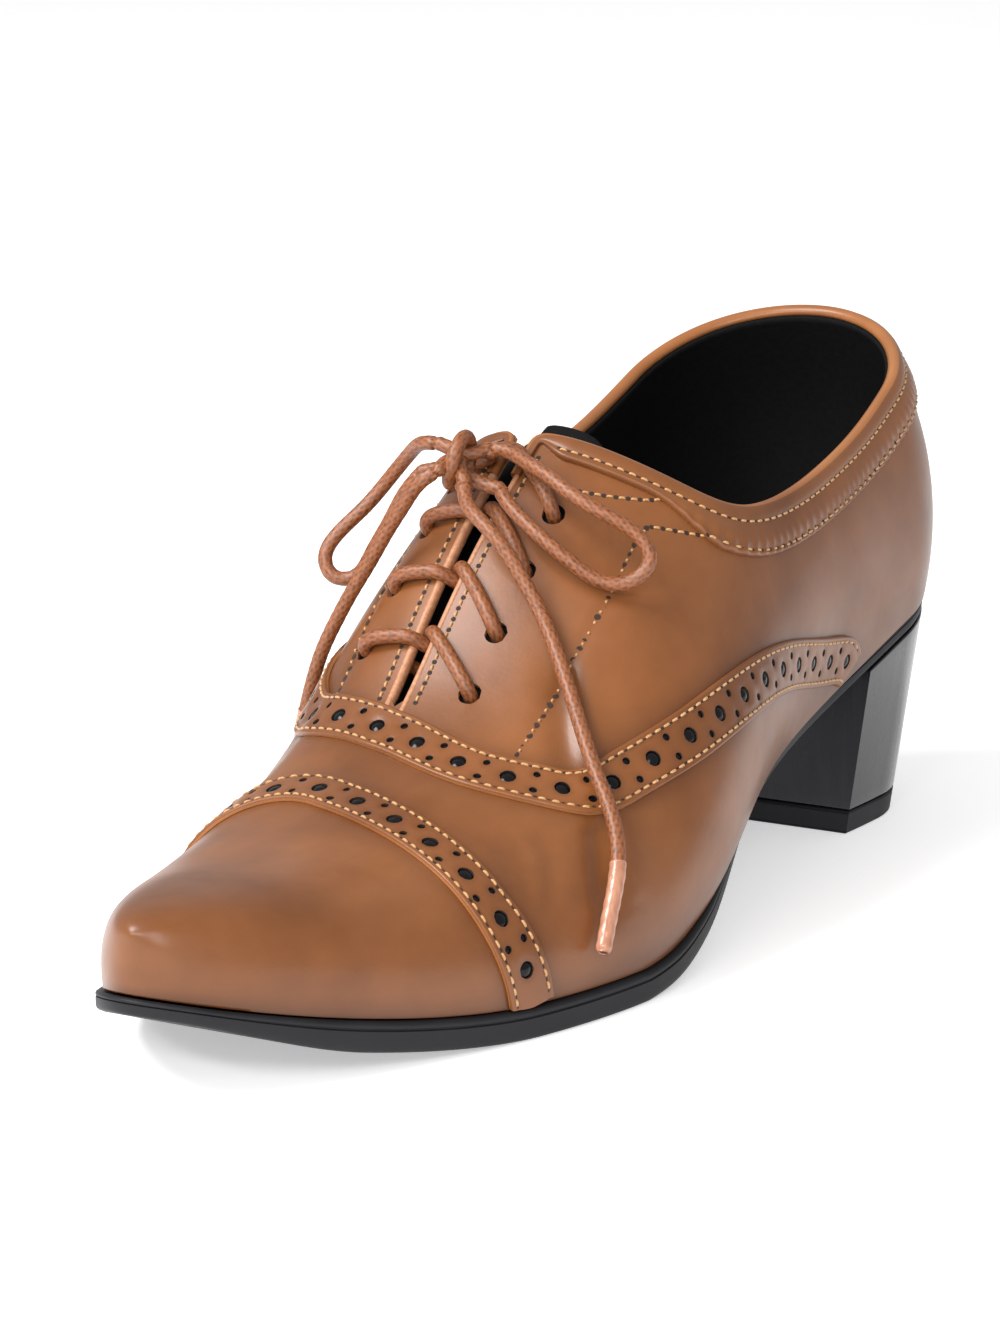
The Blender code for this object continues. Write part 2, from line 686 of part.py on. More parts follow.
def slab_sections(inner, outer, floor_inner, floor_outer, seat_z, low, high):
    """Sections of a slice of the heel between two shares of its height."""
    sections = []
    shares = np.linspace(0, 1, SOLE_COLUMNS + 1)[:, None]
    for i in range(len(inner)):
        rows = []
        for level in (high, low):
            z = level if level is not None else seat_z[i]
            up = z / seat_z[i]
            left = floor_inner[i] + (inner[i] - floor_inner[i]) * up
            right = floor_outer[i] + (outer[i] - floor_outer[i]) * up
            row = left + (right - left) * shares
            row[:, 2] = z
            rows.append(row)
        sections.append(np.concatenate([rows[0], rows[1][::-1]]))
    return sections


def make_heel(finish, lift_finish):
    inner, outer, seat_z, floor_inner, floor_outer = heel_edges()
    args = (inner, outer, floor_inner, floor_outer, seat_z)
    block = section_loft("heel_block", slab_sections(*args, LIFT_HEIGHT + GAP, None), finish)
    lift = section_loft("heel_lift", slab_sections(*args, 0.0, LIFT_HEIGHT), lift_finish)
    return block, lift


def clear_scene():
    for old in list(bpy.data.objects):
        bpy.data.objects.remove(old, do_unlink=True)


def main():
    clear_scene()
    tan = material("tan_leather", (0.34, 0.14, 0.05), 0.38)
    strip = material("strip_leather", (0.36, 0.145, 0.05), 0.42)
    lining = material("black_lining", (0.006, 0.006, 0.007), 0.8)
    rubber = material("black_sole", (0.016, 0.016, 0.018), 0.55)
    lacquer = material("black_heel", (0.012, 0.012, 0.014), 0.25)
    cord = material("waxed_cord", (0.45, 0.15, 0.06), 0.6)
    upper = make_upper(tan)
    punch_eyelets(upper)
    make_tongue(tan)
    make_strip("toe_cap_strip", CAP_PATH, CAP_STRIP_WIDTH, CAP_STEPS, strip)
    make_strip("wing_strip", WING_PATH, WING_STRIP_WIDTH, WING_STEPS, strip)
    make_collar_band(tan)
    make_crossings(cord)
    make_bow(cord)
    make_outsole(rubber)
    make_insole(lining)
    make_heel(lacquer, rubber)


main()
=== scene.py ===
"""Looks of the heeled lace-up oxford, left shoe of a pair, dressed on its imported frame.

Lengths are in metres, in the part's own frame: +Z is up, the toe points to -Y, the outer side is +X and
the origin is the centre of the heel's floor face. Every leather piece is read from one function of the
last: a station from 0 at the counter to 1 at the toe tip, and a girth place from -1 at the inner feather
edge, over 0 on the crest, to 1 at the outer feather edge.
"""
import math

import bmesh
import bpy
import numpy as np
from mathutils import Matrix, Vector
from mathutils.geometry import delaunay_2d_cdt


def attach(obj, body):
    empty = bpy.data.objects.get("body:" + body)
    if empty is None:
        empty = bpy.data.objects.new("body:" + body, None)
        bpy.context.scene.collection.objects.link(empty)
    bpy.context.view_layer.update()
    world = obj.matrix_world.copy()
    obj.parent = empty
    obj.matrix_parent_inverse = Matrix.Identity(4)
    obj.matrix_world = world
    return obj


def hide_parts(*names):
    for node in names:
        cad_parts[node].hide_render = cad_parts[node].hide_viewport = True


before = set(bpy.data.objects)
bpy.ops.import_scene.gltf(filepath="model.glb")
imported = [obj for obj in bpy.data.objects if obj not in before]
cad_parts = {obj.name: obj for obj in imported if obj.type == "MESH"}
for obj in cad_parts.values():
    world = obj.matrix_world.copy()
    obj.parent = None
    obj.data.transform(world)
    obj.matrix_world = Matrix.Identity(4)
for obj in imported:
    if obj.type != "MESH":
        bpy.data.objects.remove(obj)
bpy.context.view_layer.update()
MM = 0.001

# Driving sizes of the last, as the part has them
SHOE_LENGTH = 0.243
BALL_WIDTH = 0.089
INSTEP_HEIGHT = 0.068
SEAT_HEIGHT = 0.0460
TOE_SPRING = 0.012
TOE_FACE = 0.009
COUNTER_LEAN = 0.010
COUNTER_TUCK = 0.003
COUNTER_BULGE = 0.016
COLLAR_BACK = 0.047
THROAT_HALF = 0.0024
THROAT_CLOSE = 0.55
TAB_SPREAD = 1.6
EYELET_EDGE = 0.0100
EYELET_WIDTH = 0.0042
TONGUE_HALF = 0.017
CAP_STRIP_WIDTH = 0.0088
WING_STRIP_WIDTH = 0.0092

# Bottom pieces
SOLE_FORE = 0.0056
SOLE_TIP = 0.0032
SOLE_WAIST = 0.0034
SOLE_SEAT = 0.0030
SOLE_OVERHANG = 0.0012
SEAT_TUCK = 0.0004
WAIST_TUCK = 0.0012
INSOLE_WALL = 0.0025
HEEL_DEPTH = 0.047
HEEL_TAPER = 0.0045
HEEL_BACK_INSET = 0.0060
HEEL_SIDE = 0.020
LIFT_HEIGHT = 0.0045
COVER_EASE = 0.0004
LIFT_EASE = 0.0006
GAP = 0.0003

# Layers of leather, as distances outside the last's surface
LEATHER_INSIDE = -0.00120
LINING_OUTSIDE = -0.00125
LINING_INSIDE = -0.00200
STRIP_TOP = 0.00100
STRIP_BASE = 0.00008
HOLE_SHADE_OUT = 0.00045
TONGUE_TOP = -0.0056

# Grids, eased edges, and the reach and depth of the painted shade beside the strips and in the folds; the
# lining's drop is a girth below the rim
UPPER_COLUMNS = 80
LINING_COLUMNS = 36
LINING_DROP = 0.004
STRIP_EDGE = 0.00045
STRIP_ROOM = 0.0005
STRIP_STEP = 0.00085
TONGUE_WALL = 0.0016
TONGUE_EASE = 0.0006
TIP_REACH = 0.012
SHADE_REACH = 0.0022
SHADE_DEPTH = 0.42

# Lace
LACE_WIDTH = 0.0026
CROSSING_RISE = 0.014
BAR_SPREAD = 0.007
BRAID_STRANDS = 8
BRAID_PITCH = 0.0022
BRAID_DEPTH = 0.00007
TIP_LENGTH = 0.016
TIP_WALL = 0.00014
TIP_TAPER = 0.00010
TIP_RING = 0.00004
TIP_SIDES = 20
CORD_SIDES = 26
CORD_SPACING = 0.00036
CORD_END = 0.15
EYELET_REACH = THROAT_HALF + EYELET_EDGE
# A lace bar, as (share of the way to its eyelet, millimetres outside the leather): up the eyelet and over,
# then up to the knot or down the gap, and on under the other facing
BAR_OVER = ((1.02, -4.2), (1.0, -1.6), (0.955, 0.6), (0.86, 1.5), (0.60, 1.8), (0.36, 1.5))
BAR_TO_KNOT = ((0.18, 2.7),)
BAR_DOWN = ((0.20, 1.2), (0.04, -0.9), (-0.14, -3.0), (-0.30, -3.9))
BAR_UNDER = ((-0.62, -4.1), (-0.90, -4.2), (-1.0, -4.6))
BOTTOM_BAR_OUT = -0.0044

# Thread
THREAD_WIDTH = 0.00046
STITCH_PITCH = 0.0021
STITCH_LENGTH = 0.00145
NEEDLE_HOLE = 0.00040
FINE_HOLE = 0.00048
THREAD_SIDES = 8
HEADING_STEP = 0.0002
PIT_RIM_OUT = 0.00002
PIT_MIDDLE_OUT = 0.00005
STRIP_ROW_INSET = 0.0012
ROW_INSET = 0.0006
# The collar's two rows: distance below the rim and outside the leather
UPPER_ROW = (0.0026, 0.00110)
LOWER_ROW = (0.0078, 0.00104)
FACING_ROW = 0.0022

# Brogue perforation
BIG_HOLE = 0.00142
SMALL_HOLE = 0.00068
HOLE_PITCH = 0.0092
SMALL_HOLE_ACROSS = 0.00190
EDGE_STITCH = 0.00105
HOLE_PRESS = 0.00016
ROW_PRESS = 0.00014
BIG_DOME = 0.00045
SMALL_DOME = 0.0001

# Places along the shoe, as stations
THROAT_FRONT = 0.635
TAB_STATION = 0.468
TAB_REACH = 0.040
TONGUE_TIP = 0.443
TONGUE_BASE = 0.680
TONGUE_TIP_ROUND = 0.03
TONGUE_TIP_SHARE = 0.62
BAND_TAPER = (0.415, 0.452)
TREAD_BACK = 0.650
TREAD_FRONT = 0.755
TIP_START = 0.88
SEAT_TO_WAIST = (0.15, 0.30)
WAIST_TO_FORE = (0.42, 0.62)
# Lace levels from the throat's front to the tab: (inner, outer) eyelet
EYELET_STATIONS = ((0.594, 0.618), (0.558, 0.583), (0.521, 0.548), (0.489, 0.512))

# Last sections: the halves are shares of BALL_WIDTH, the crest is a share of INSTEP_HEIGHT above the
# feather edge, ridge is how far the crest lies to the inner side, as a share of BALL_WIDTH, full is how
# boxy the section is and tuck is the share of BALL_WIDTH that it pulls under
LAST_COLUMNS = ("station", "inner", "outer", "crest", "ridge", "full", "tuck")
LAST_ROWS = (
    (0.00, 0.380, 0.365, 0.98, 0.040, 0.02, 0.022),
    (0.12, 0.380, 0.365, 1.02, 0.045, 0.02, 0.026),
    (0.25, 0.375, 0.370, 1.15, 0.055, 0.00, 0.050),
    (0.36, 0.380, 0.390, 1.14, 0.070, -0.02, 0.070),
    (0.46, 0.425, 0.435, 1.01, 0.095, -0.02, 0.060),
    (0.55, 0.465, 0.465, 0.800, 0.125, 0.02, 0.040),
    (0.60, 0.478, 0.468, 0.650, 0.140, 0.05, 0.028),
    (0.66, 0.487, 0.466, 0.500, 0.140, 0.10, 0.020),
    (0.76, 0.490, 0.445, 0.385, 0.100, 0.16, 0.018),
    (0.86, 0.465, 0.400, 0.315, 0.060, 0.20, 0.018),
    (1.00, 0.370, 0.330, 0.250, 0.040, 0.20, 0.018),
)
# Bottom line: rise is a share of the seat's height above the forefoot
BOTTOM_COLUMNS = ("station", "rise")
BOTTOM_ROWS = (
    (0.00, 1.000),
    (0.10, 0.885),
    (0.20, 0.735),
    (0.30, 0.565),
    (0.40, 0.395),
    (0.50, 0.225),
    (0.58, 0.090),
    (0.62, 0.025),
    (TREAD_BACK, 0.000),
)
# Top line: heights above the feather edge, as shares of COLLAR_BACK
RIM_COLUMNS = ("station", "inner", "outer")
RIM_ROWS = (
    (0.00, 1.00, 1.00),
    (0.05, 0.96, 0.97),
    (0.12, 0.90, 0.93),
    (0.20, 0.86, 0.91),
    (0.28, 0.89, 0.93),
    (0.35, 0.97, 0.98),
    (0.41, 1.12, 1.09),
)
# The last stretch of the top line, where it climbs over the tab: (station, girth)
TAB_ROWS = ((0.443, 0.375), (0.460, 0.232))
TOE_ROUND = 0.46
TOE_POWER = 1.75
CREST_ROUND = 0.12
CREST_POWER = 2.2
HEEL_ROUND = 0.13
TOE_SWING = 0.0085
SWING_START = 0.60
SWING_POWER = 1.6
SPRING_POWER = 1.7
LEAN_REACH = 0.32
LEAN_LIMIT = 1.3
TUCK_START = 0.72
FEATHER_LIMIT = 0.998
SMALL_STEP = 1e-3

# Centre lines of the two strips, and of the sewn rows that follow no edge, as (station, girth) places
CAP_PATH = ((0.746, -0.996), (0.742, -0.70), (0.727, -0.38), (0.722, -0.12), (0.739, 0.10), (0.768, 0.40),
            (0.774, 0.70), (0.761, 0.996))
WING_PATH = ((0.246, -0.974), (0.264, -0.942), (0.330, -0.885), (0.430, -0.77), (0.520, -0.66),
             (0.585, -0.54), (0.622, -0.40), (0.643, -0.18), (0.656, 0.04), (0.668, 0.24), (0.645, 0.46),
             (0.609, 0.55), (0.543, 0.66), (0.428, 0.775), (0.325, 0.885), (0.264, 0.942), (0.246, 0.974))
EYESTAY_SEAM = ((0.480, 0.362), (0.503, 0.350), (0.530, 0.345), (0.575, 0.325), (0.625, 0.300),
                (0.646, 0.293))
TAB_SEAM = ((0.497, 0.125), (0.490, 0.210), (0.480, 0.280), (0.468, 0.335), (0.456, 0.372))
COLLAR_SEAM = ((0.482, 0.360), (0.467, 0.420), (0.450, 0.475), (0.432, 0.522))
# Sewn rows of the facings: path, pitch, stitch length and needle hole, wide round the eyestay so that its
# painted shade shows as a large dark dot
FACING_SEAMS = ((EYESTAY_SEAM, 0.0023, 0.00062, 0.00062), (TAB_SEAM, STITCH_PITCH, 0.00125, FINE_HOLE),
                (COLLAR_SEAM, STITCH_PITCH, 0.00125, FINE_HOLE))

# Soft folds pressed into the leather: path of (station, girth) places, half width, height (minus is a trough)
FOLDS = (
    (((0.585, 0.285), (0.600, 0.335), (0.628, 0.395), (0.640, 0.430)), 0.0032, -0.0015),
    (((0.590, 0.350), (0.607, 0.395), (0.630, 0.450)), 0.0048, 0.0013),
    (((0.652, 0.545), (0.657, 0.580), (0.677, 0.675), (0.693, 0.775)), 0.0030, -0.0013),
    (((0.640, 0.600), (0.655, 0.680), (0.668, 0.780)), 0.0050, 0.0010),
    (((0.728, 0.330), (0.725, 0.410), (0.748, 0.540), (0.770, 0.635)), 0.0018, -0.00034),
    (((0.716, 0.380), (0.718, 0.455), (0.738, 0.570), (0.753, 0.665)), 0.0018, -0.00040),
    (((0.700, 0.450), (0.703, 0.525), (0.722, 0.620), (0.735, 0.695)), 0.0019, -0.00046),
    (((0.590, -0.330), (0.615, -0.400), (0.640, -0.470)), 0.0040, -0.0008),
    (((0.660, -0.480), (0.685, -0.600), (0.700, -0.740)), 0.0036, -0.0008),
    (((0.700, -0.380), (0.712, -0.520), (0.722, -0.680)), 0.0022, -0.0004),
    (((0.440, -0.450), (0.455, -0.600), (0.470, -0.740)), 0.0080, -0.0007),
    (((0.672, -0.200), (0.690, -0.020), (0.700, 0.150)), 0.0050, -0.0004),
)


def mirrored(path):
    """The same places on the shoe's other side."""
    return tuple((station, -girth) for station, girth in path)


SEAM_GROOVES = (
    (EYESTAY_SEAM, 0.0011, -0.00030),
    (mirrored(EYESTAY_SEAM), 0.0011, -0.00030),
)

# Routes of the loops and ends, in millimetres, chosen from the photograph
LACE_ROUTES = {
    "lace_loop_outer": (
        (-10.6, -98.1, 83.6), (-8.0, -97.6, 83.6), (-3, -99.4, 82.6), (3, -102, 81), (9, -103.8, 78.4),
        (15, -103.3, 75.5), (20, -101, 72), (22.5, -101, 68), (20.5, -103, 64.5), (16, -105, 64),
        (11, -107, 67), (6, -107.5, 70.5), (1.5, -106.5, 73.2), (-3, -104.6, 75.8), (-6.0, -102.4, 77.8)),
    "lace_loop_inner": (
        (-18.2, -101.4, 84.4), (-20.8, -101.0, 84.3), (-26, -97.6, 81.8), (-31, -96.5, 76.5), (-35, -99, 71),
        (-38.5, -102.5, 66.5), (-39.5, -105, 62.5), (-37.4, -105.6, 59.7), (-34, -104.6, 59.7),
        (-30.8, -103.8, 64), (-27.6, -102.8, 70), (-24.3, -103, 75.5), (-20.6, -103.4, 79.6)),
    "lace_end_inner": (
        (-14.9, -107.6, 81.2), (-17.6, -108.9, 79.2), (-21, -108.8, 75), (-24.5, -108.8, 69.8),
        (-28, -108.9, 64), (-31.5, -109, 58.5), (-35.5, -108.5, 52), (-38.5, -108, 46.5), (-41, -107.5, 40),
        (-42.8, -107.2, 33.5), (-43.7, -107, 26.5), (-43.6, -106.8, 19.5)),
    "lace_end_outer": (
        (-10.8, -106.2, 79.3), (-8.7, -109.1, 76.4), (-4.8, -111.8, 74.2), (0, -113.2, 70.8),
        (4.3, -113.5, 65.5), (8.5, -114.5, 60), (14, -118, 53), (20, -123, 45.5), (27, -129, 37),
        (33, -134, 30), (35.8, -138.5, 24), (36.8, -143, 18), (37.6, -147, 12.5)),
}
# The wrap turns once round the bow's crossing: a slanted ring, from the back over the front and under
KNOT_CENTRE = (-13.6, -102.2, 82.0)
KNOT_ACROSS = (12.0, 3.0, -2.0)
KNOT_FRONT = (0.45, -0.85, 0.25)
WRAP_RADII = (0.0042, 0.0040)
WRAP_DRIFT = (-0.0012, 0.0014)
STRAND_OVERLAP = 0.0016
KNOT_STRANDS = (
    ((-18.2, -101.4, 84.4), (-15.5, -101.6, 83.7), (-13.0, -100.6, 83.0), (-10.6, -98.1, 83.6)),
    ((-20.6, -103.4, 79.6), (-17.0, -103.0, 80.4), (-12.5, -102.6, 79.6), (-8.8, -102.4, 78.2),
     (-6.0, -102.4, 77.8)),
    ((-13.4, -103.0, 81.8), (-12.4, -104.6, 80.8), (-10.8, -106.2, 79.3)),
    ((-14.4, -103.8, 82.4), (-14.8, -105.8, 82.0), (-14.9, -107.6, 81.2)),
)

# Rounding of the top line at the tab's corner
CORNER_RUN = 0.0070
CORNER_ROUND = 0.0032
RIM_SPACING = 0.0004
BAND_ROOM = (-0.0012, 0.0100)

# The band's section from inside the rim, over it and down the outside: (across, out) in millimetres;
# the last five rows belong to the lower edge, which draws in towards the tab
BAND_TOP = ((0.60, -1.25), (0.05, -1.35), (-0.45, -1.05), (-0.75, -0.45), (-0.80, 0.15), (-0.60, 0.75),
            (-0.10, 1.15), (0.60, 1.32), (1.50, 1.35), (2.20, 1.22), (2.60, 1.08), (3.00, 1.20))
BAND_FOOT = ((3.90, 1.38), (5.20, 1.50), (6.60, 1.45), (7.40, 1.22), (7.80, 1.02), (8.20, 1.12),
             (8.55, 0.95), (8.75, 0.60), (8.80, 0.10))
BAND_FOOT_TAB = ((3.15, 1.25), (3.30, 1.28), (3.45, 1.30), (3.60, 1.30), (3.75, 1.26), (3.90, 1.18),
                 (4.05, 0.98), (4.15, 0.60), (4.18, 0.10))
BAND_STEPS = 520
PUCKER_PITCH = 0.0024
PUCKER_DEPTH = 0.00022

# Section of a facing's edge: (across, out) in millimetres
FACING_SECTION = ((0.90, -1.95), (0.10, -1.95), (-0.30, -1.60), (-0.42, -0.90), (-0.34, -0.25), (-0.05, 0.10),
                  (0.35, 0.16), (0.70, 0.06), (0.75, -0.20))

# Edge of the sole from its top to its floor face: (share down, inset in millimetres), with the welt line
SOLE_PROFILE = ((0.00, 0.75), (0.03, 0.30), (0.08, 0.06), (0.14, 0.00), (0.20, 0.02), (0.235, 0.34),
                (0.265, 0.34), (0.30, 0.02), (0.45, 0.00), (0.65, 0.02), (0.80, 0.08), (0.90, 0.26),
                (0.96, 0.55), (1.00, 1.00))

# Camera, at the photograph's angle on the one shoe
CAMERA_PLACE = (0.3601, -0.7750, 0.2286)
CAMERA_TARGET = (-0.0404, -0.0388, 0.0290)
CAMERA_LENS = 122.0

# Studio: name, place, target, size in metres and power in watts of each light
LIGHTS = (
    ("key_softbox", (-0.55, -0.75, 1.05), (0.0, -0.10, 0.04), (0.7, 0.5), 19.0),
    ("side_softbox", (0.62, -0.95, 0.55), (0.0, -0.08, 0.05), (0.30, 0.7), 4.0),
    ("toe_strip", (-0.05, -1.00, 0.50), (0.0, -0.20, 0.03), (0.8, 0.08), 5.0),
)
WORLD_STRENGTH = 0.50
FLOOR_GLOW = 0.44
FLOOR_HALF = 12.0


# Curves and the last

def spline(knots, values):
    """Natural cubic curve through the rows of a table."""
    knots = np.asarray(knots, float)
    values = np.asarray(values, float)
    step = np.diff(knots)
    slope = np.diff(values) / step
    count = len(knots)
    matrix = np.eye(count)
    right_side = np.zeros(count)
    for i in range(1, count - 1):
        matrix[i, i - 1:i + 2] = step[i - 1], 2 * (step[i - 1] + step[i]), step[i]
        right_side[i] = 6 * (slope[i] - slope[i - 1])
    bend = np.linalg.solve(matrix, right_side)

    def at(place):
        place = np.asarray(place, float)
        i = np.clip(np.searchsorted(knots, place) - 1, 0, count - 2)
        width = step[i]
        left = (knots[i + 1] - place) / width
        right = (place - knots[i]) / width
        curved = (left ** 3 - left) * bend[i] + (right ** 3 - right) * bend[i + 1]
        return left * values[i] + right * values[i + 1] + curved * width * width / 6

    return at


def column(rows, names, name):
    """A smooth curve through one column of a table."""
    stations = [row[0] for row in rows]
    return spline(stations, [row[names.index(name)] for row in rows])


LAST = {name: column(LAST_ROWS, LAST_COLUMNS, name) for name in LAST_COLUMNS[1:]}
RISE = column(BOTTOM_ROWS, BOTTOM_COLUMNS, "rise")
BACK_Y = HEEL_BACK_INSET + (HEEL_DEPTH - HEEL_BACK_INSET) / 2


def blend(low, high, start, end, place):
    """Smooth change from low to high between two places."""
    share = np.clip((np.asarray(place) - start) / (end - start), 0, 1)
    return low + (high - low) * share * share * (3 - 2 * share)


def rounding(share, power):
    """Falls from 1 to 0 as the share grows to 1, with a round end; 2 makes a quarter ellipse."""
    return np.sqrt(1 - np.clip(share, 0, 1) ** power)


def feather(station):
    """Height of the upper's lower edge above the floor."""
    station = np.asarray(station, float)
    rise = np.where(station < TREAD_BACK, RISE(np.minimum(station, TREAD_BACK)), 0.0)
    spring = np.clip((station - TREAD_FRONT) / (1 - TREAD_FRONT), 0, None) ** SPRING_POWER
    return SOLE_FORE + (SEAT_HEIGHT - SOLE_FORE) * rise + TOE_SPRING * spring


def plan_rounding(station):
    """Share of the half width that is left at a station, less towards both ends."""
    toe = rounding((station - 1 + TOE_ROUND) / TOE_ROUND, TOE_POWER)
    heel = rounding((HEEL_ROUND - station) / HEEL_ROUND, 2.0)
    return toe * heel


def crest_height(station):
    """Height of the crest above the feather edge."""
    full_height = LAST["crest"](station) * INSTEP_HEIGHT
    end = rounding((station - 1 + CREST_ROUND) / CREST_ROUND, CREST_POWER)
    return TOE_FACE + (full_height - TOE_FACE) * end


def section_up(angle, full):
    """Height share of a section at an angle from the crest."""
    return np.cos(angle) * (1 + full * np.sin(angle) ** 2)


def last_point(station, girth):
    """Point of the bare last at a station and a girth place."""
    station, girth = np.broadcast_arrays(np.asarray(station, float), np.asarray(girth, float))
    angle = np.abs(girth) * math.pi / 2
    full = LAST["full"](station)
    ends = plan_rounding(station)
    half = np.where(girth > 0, LAST["outer"](station), LAST["inner"](station)) * BALL_WIDTH * ends
    across = np.sin(angle) * (1 + full * np.cos(angle) ** 2)
    under = np.clip((np.abs(girth) - TUCK_START) / (1 - TUCK_START), 0, 1)
    tuck = LAST["tuck"](station) * BALL_WIDTH * ends * under ** 2
    swing = -TOE_SWING * np.clip((station - SWING_START) / (1 - SWING_START), 0, 1) ** SWING_POWER
    ridge = LAST["ridge"](station) * BALL_WIDTH * (1 - across) * ends
    x = swing - ridge + np.sign(girth) * (half * across - tuck)
    above = crest_height(station) * np.maximum(section_up(angle, full), 0)
    over_bulge = np.clip((above - COUNTER_BULGE) / (COLLAR_BACK - COUNTER_BULGE), 0, LEAN_LIMIT)
    under_bulge = np.clip(1 - above / COUNTER_BULGE, 0, 1)
    fade = np.clip(1 - station / LEAN_REACH, 0, 1) ** 2
    lean = (COUNTER_LEAN * over_bulge ** 2 + COUNTER_TUCK * under_bulge ** 2) * fade
    y = BACK_Y - SHOE_LENGTH * station - lean
    return np.stack([x, y, feather(station) + above], -1)


def lengths_along(line):
    """Length from a line's start to each of its points."""
    return np.concatenate([[0], np.cumsum(np.linalg.norm(np.diff(line, axis=0), axis=1))])


def unit(vectors):
    """The same directions with length 1."""
    length = np.linalg.norm(vectors, axis=-1, keepdims=True)
    return vectors / np.maximum(length, 1e-12)


def last_normal(station, girth):
    """Outward unit normal of the last."""
    station, girth = np.broadcast_arrays(np.asarray(station, float), np.asarray(girth, float))
    before_tip = np.minimum(station, 1 - SMALL_STEP)
    ahead, behind = before_tip + SMALL_STEP, np.maximum(before_tip - SMALL_STEP, 0.0)
    above, below = np.minimum(girth + SMALL_STEP, 1.0), np.maximum(girth - SMALL_STEP, -1.0)
    along = last_point(ahead, girth) - last_point(behind, girth)
    round_section = last_point(before_tip, above) - last_point(before_tip, below)
    normal = np.cross(along, round_section)
    normal[..., 0] = np.where((station <= 0) | (station >= 1), 0.0, normal[..., 0])
    return unit(normal)


def follow(path, steps):
    """Station and girth place along a curve through a short table of places."""
    path = np.asarray(path, float)
    share = np.linspace(0, 1, len(path))
    fine = np.linspace(0, 1, steps)
    return spline(share, path[:, 0])(fine), spline(share, path[:, 1])(fine)


def fold_height(points):
    """How far the soft folds move the leather outward at points of the last."""
    height = np.zeros(points.shape[:-1])
    for path, half_width, size in FOLDS + SEAM_GROOVES:
        line = last_point(*follow(path, 48))
        taper = np.sin(np.linspace(0.12, math.pi - 0.12, 48)) ** 0.7
        low, high = line.min(0) - 3 * half_width, line.max(0) + 3 * half_width
        near = np.all((points > low) & (points < high), axis=-1)
        if not near.any():
            continue
        apart = np.linalg.norm(points[near][:, None] - line[None], axis=-1)
        closest = apart.argmin(1)
        height[near] += size * taper[closest] * np.exp(-(apart.min(1) / half_width) ** 2)
    return height


def surface(station, girth, out=0.0):
    """Point of the dressed last, a distance outside the leather's folded surface."""
    base = last_point(station, girth)
    lift = fold_height(base) + out
    return base + last_normal(station, girth) * np.asarray(lift)[..., None]


def girth_at_height(station, above):
    """Girth place where the section reaches a height above the feather edge."""
    angles = np.linspace(0, math.pi / 2, 200)
    ups = crest_height(station) * section_up(angles, LAST["full"](station))
    return float(np.interp(-above, -ups, angles)) * 2 / math.pi


def girth_across(station, side, across):
    """Girth place at a distance across from the crest, along the surface."""
    places = np.linspace(0, 0.9, 120)
    points = last_point(np.full(120, station), side * places)
    return float(np.interp(across, lengths_along(points), places))


def rim_line(side):
    """Stations and girths along the upper's top line, from the counter to the tab."""
    slot = RIM_COLUMNS.index("outer" if side > 0 else "inner")
    rows = [(row[0], girth_at_height(row[0], row[slot] * COLLAR_BACK)) for row in RIM_ROWS]
    rows += list(TAB_ROWS) + [(TAB_STATION, girth_across(TAB_STATION, side, THROAT_HALF * TAB_SPREAD))]
    rows = np.array(rows)
    share = lengths_along(rows * (SHOE_LENGTH, BALL_WIDTH))
    fine = np.linspace(0, share[-1], 400)
    stations = np.maximum.accumulate(spline(share, rows[:, 0])(fine))
    return np.clip(stations, 0, TAB_STATION), spline(share, rows[:, 1])(fine)


def slit_girth(station, side):
    """Girth place of the throat's edge."""
    share = min((THROAT_FRONT - station) / (THROAT_FRONT - TAB_STATION), 1.0)
    return girth_across(station, side, THROAT_HALF * (THROAT_CLOSE + (1 - THROAT_CLOSE) * share))


def rim_curve(side):
    """Girth place of the upper's top edge at each station, from the counter to the throat."""
    stations, girths = rim_line(side)

    def at(station):
        slit = slit_girth(station, side)
        if station >= TAB_STATION:
            return slit
        return max(float(np.interp(station, stations, girths)), slit)

    return at


RIM = {side: rim_curve(side) for side in (-1, 1)}


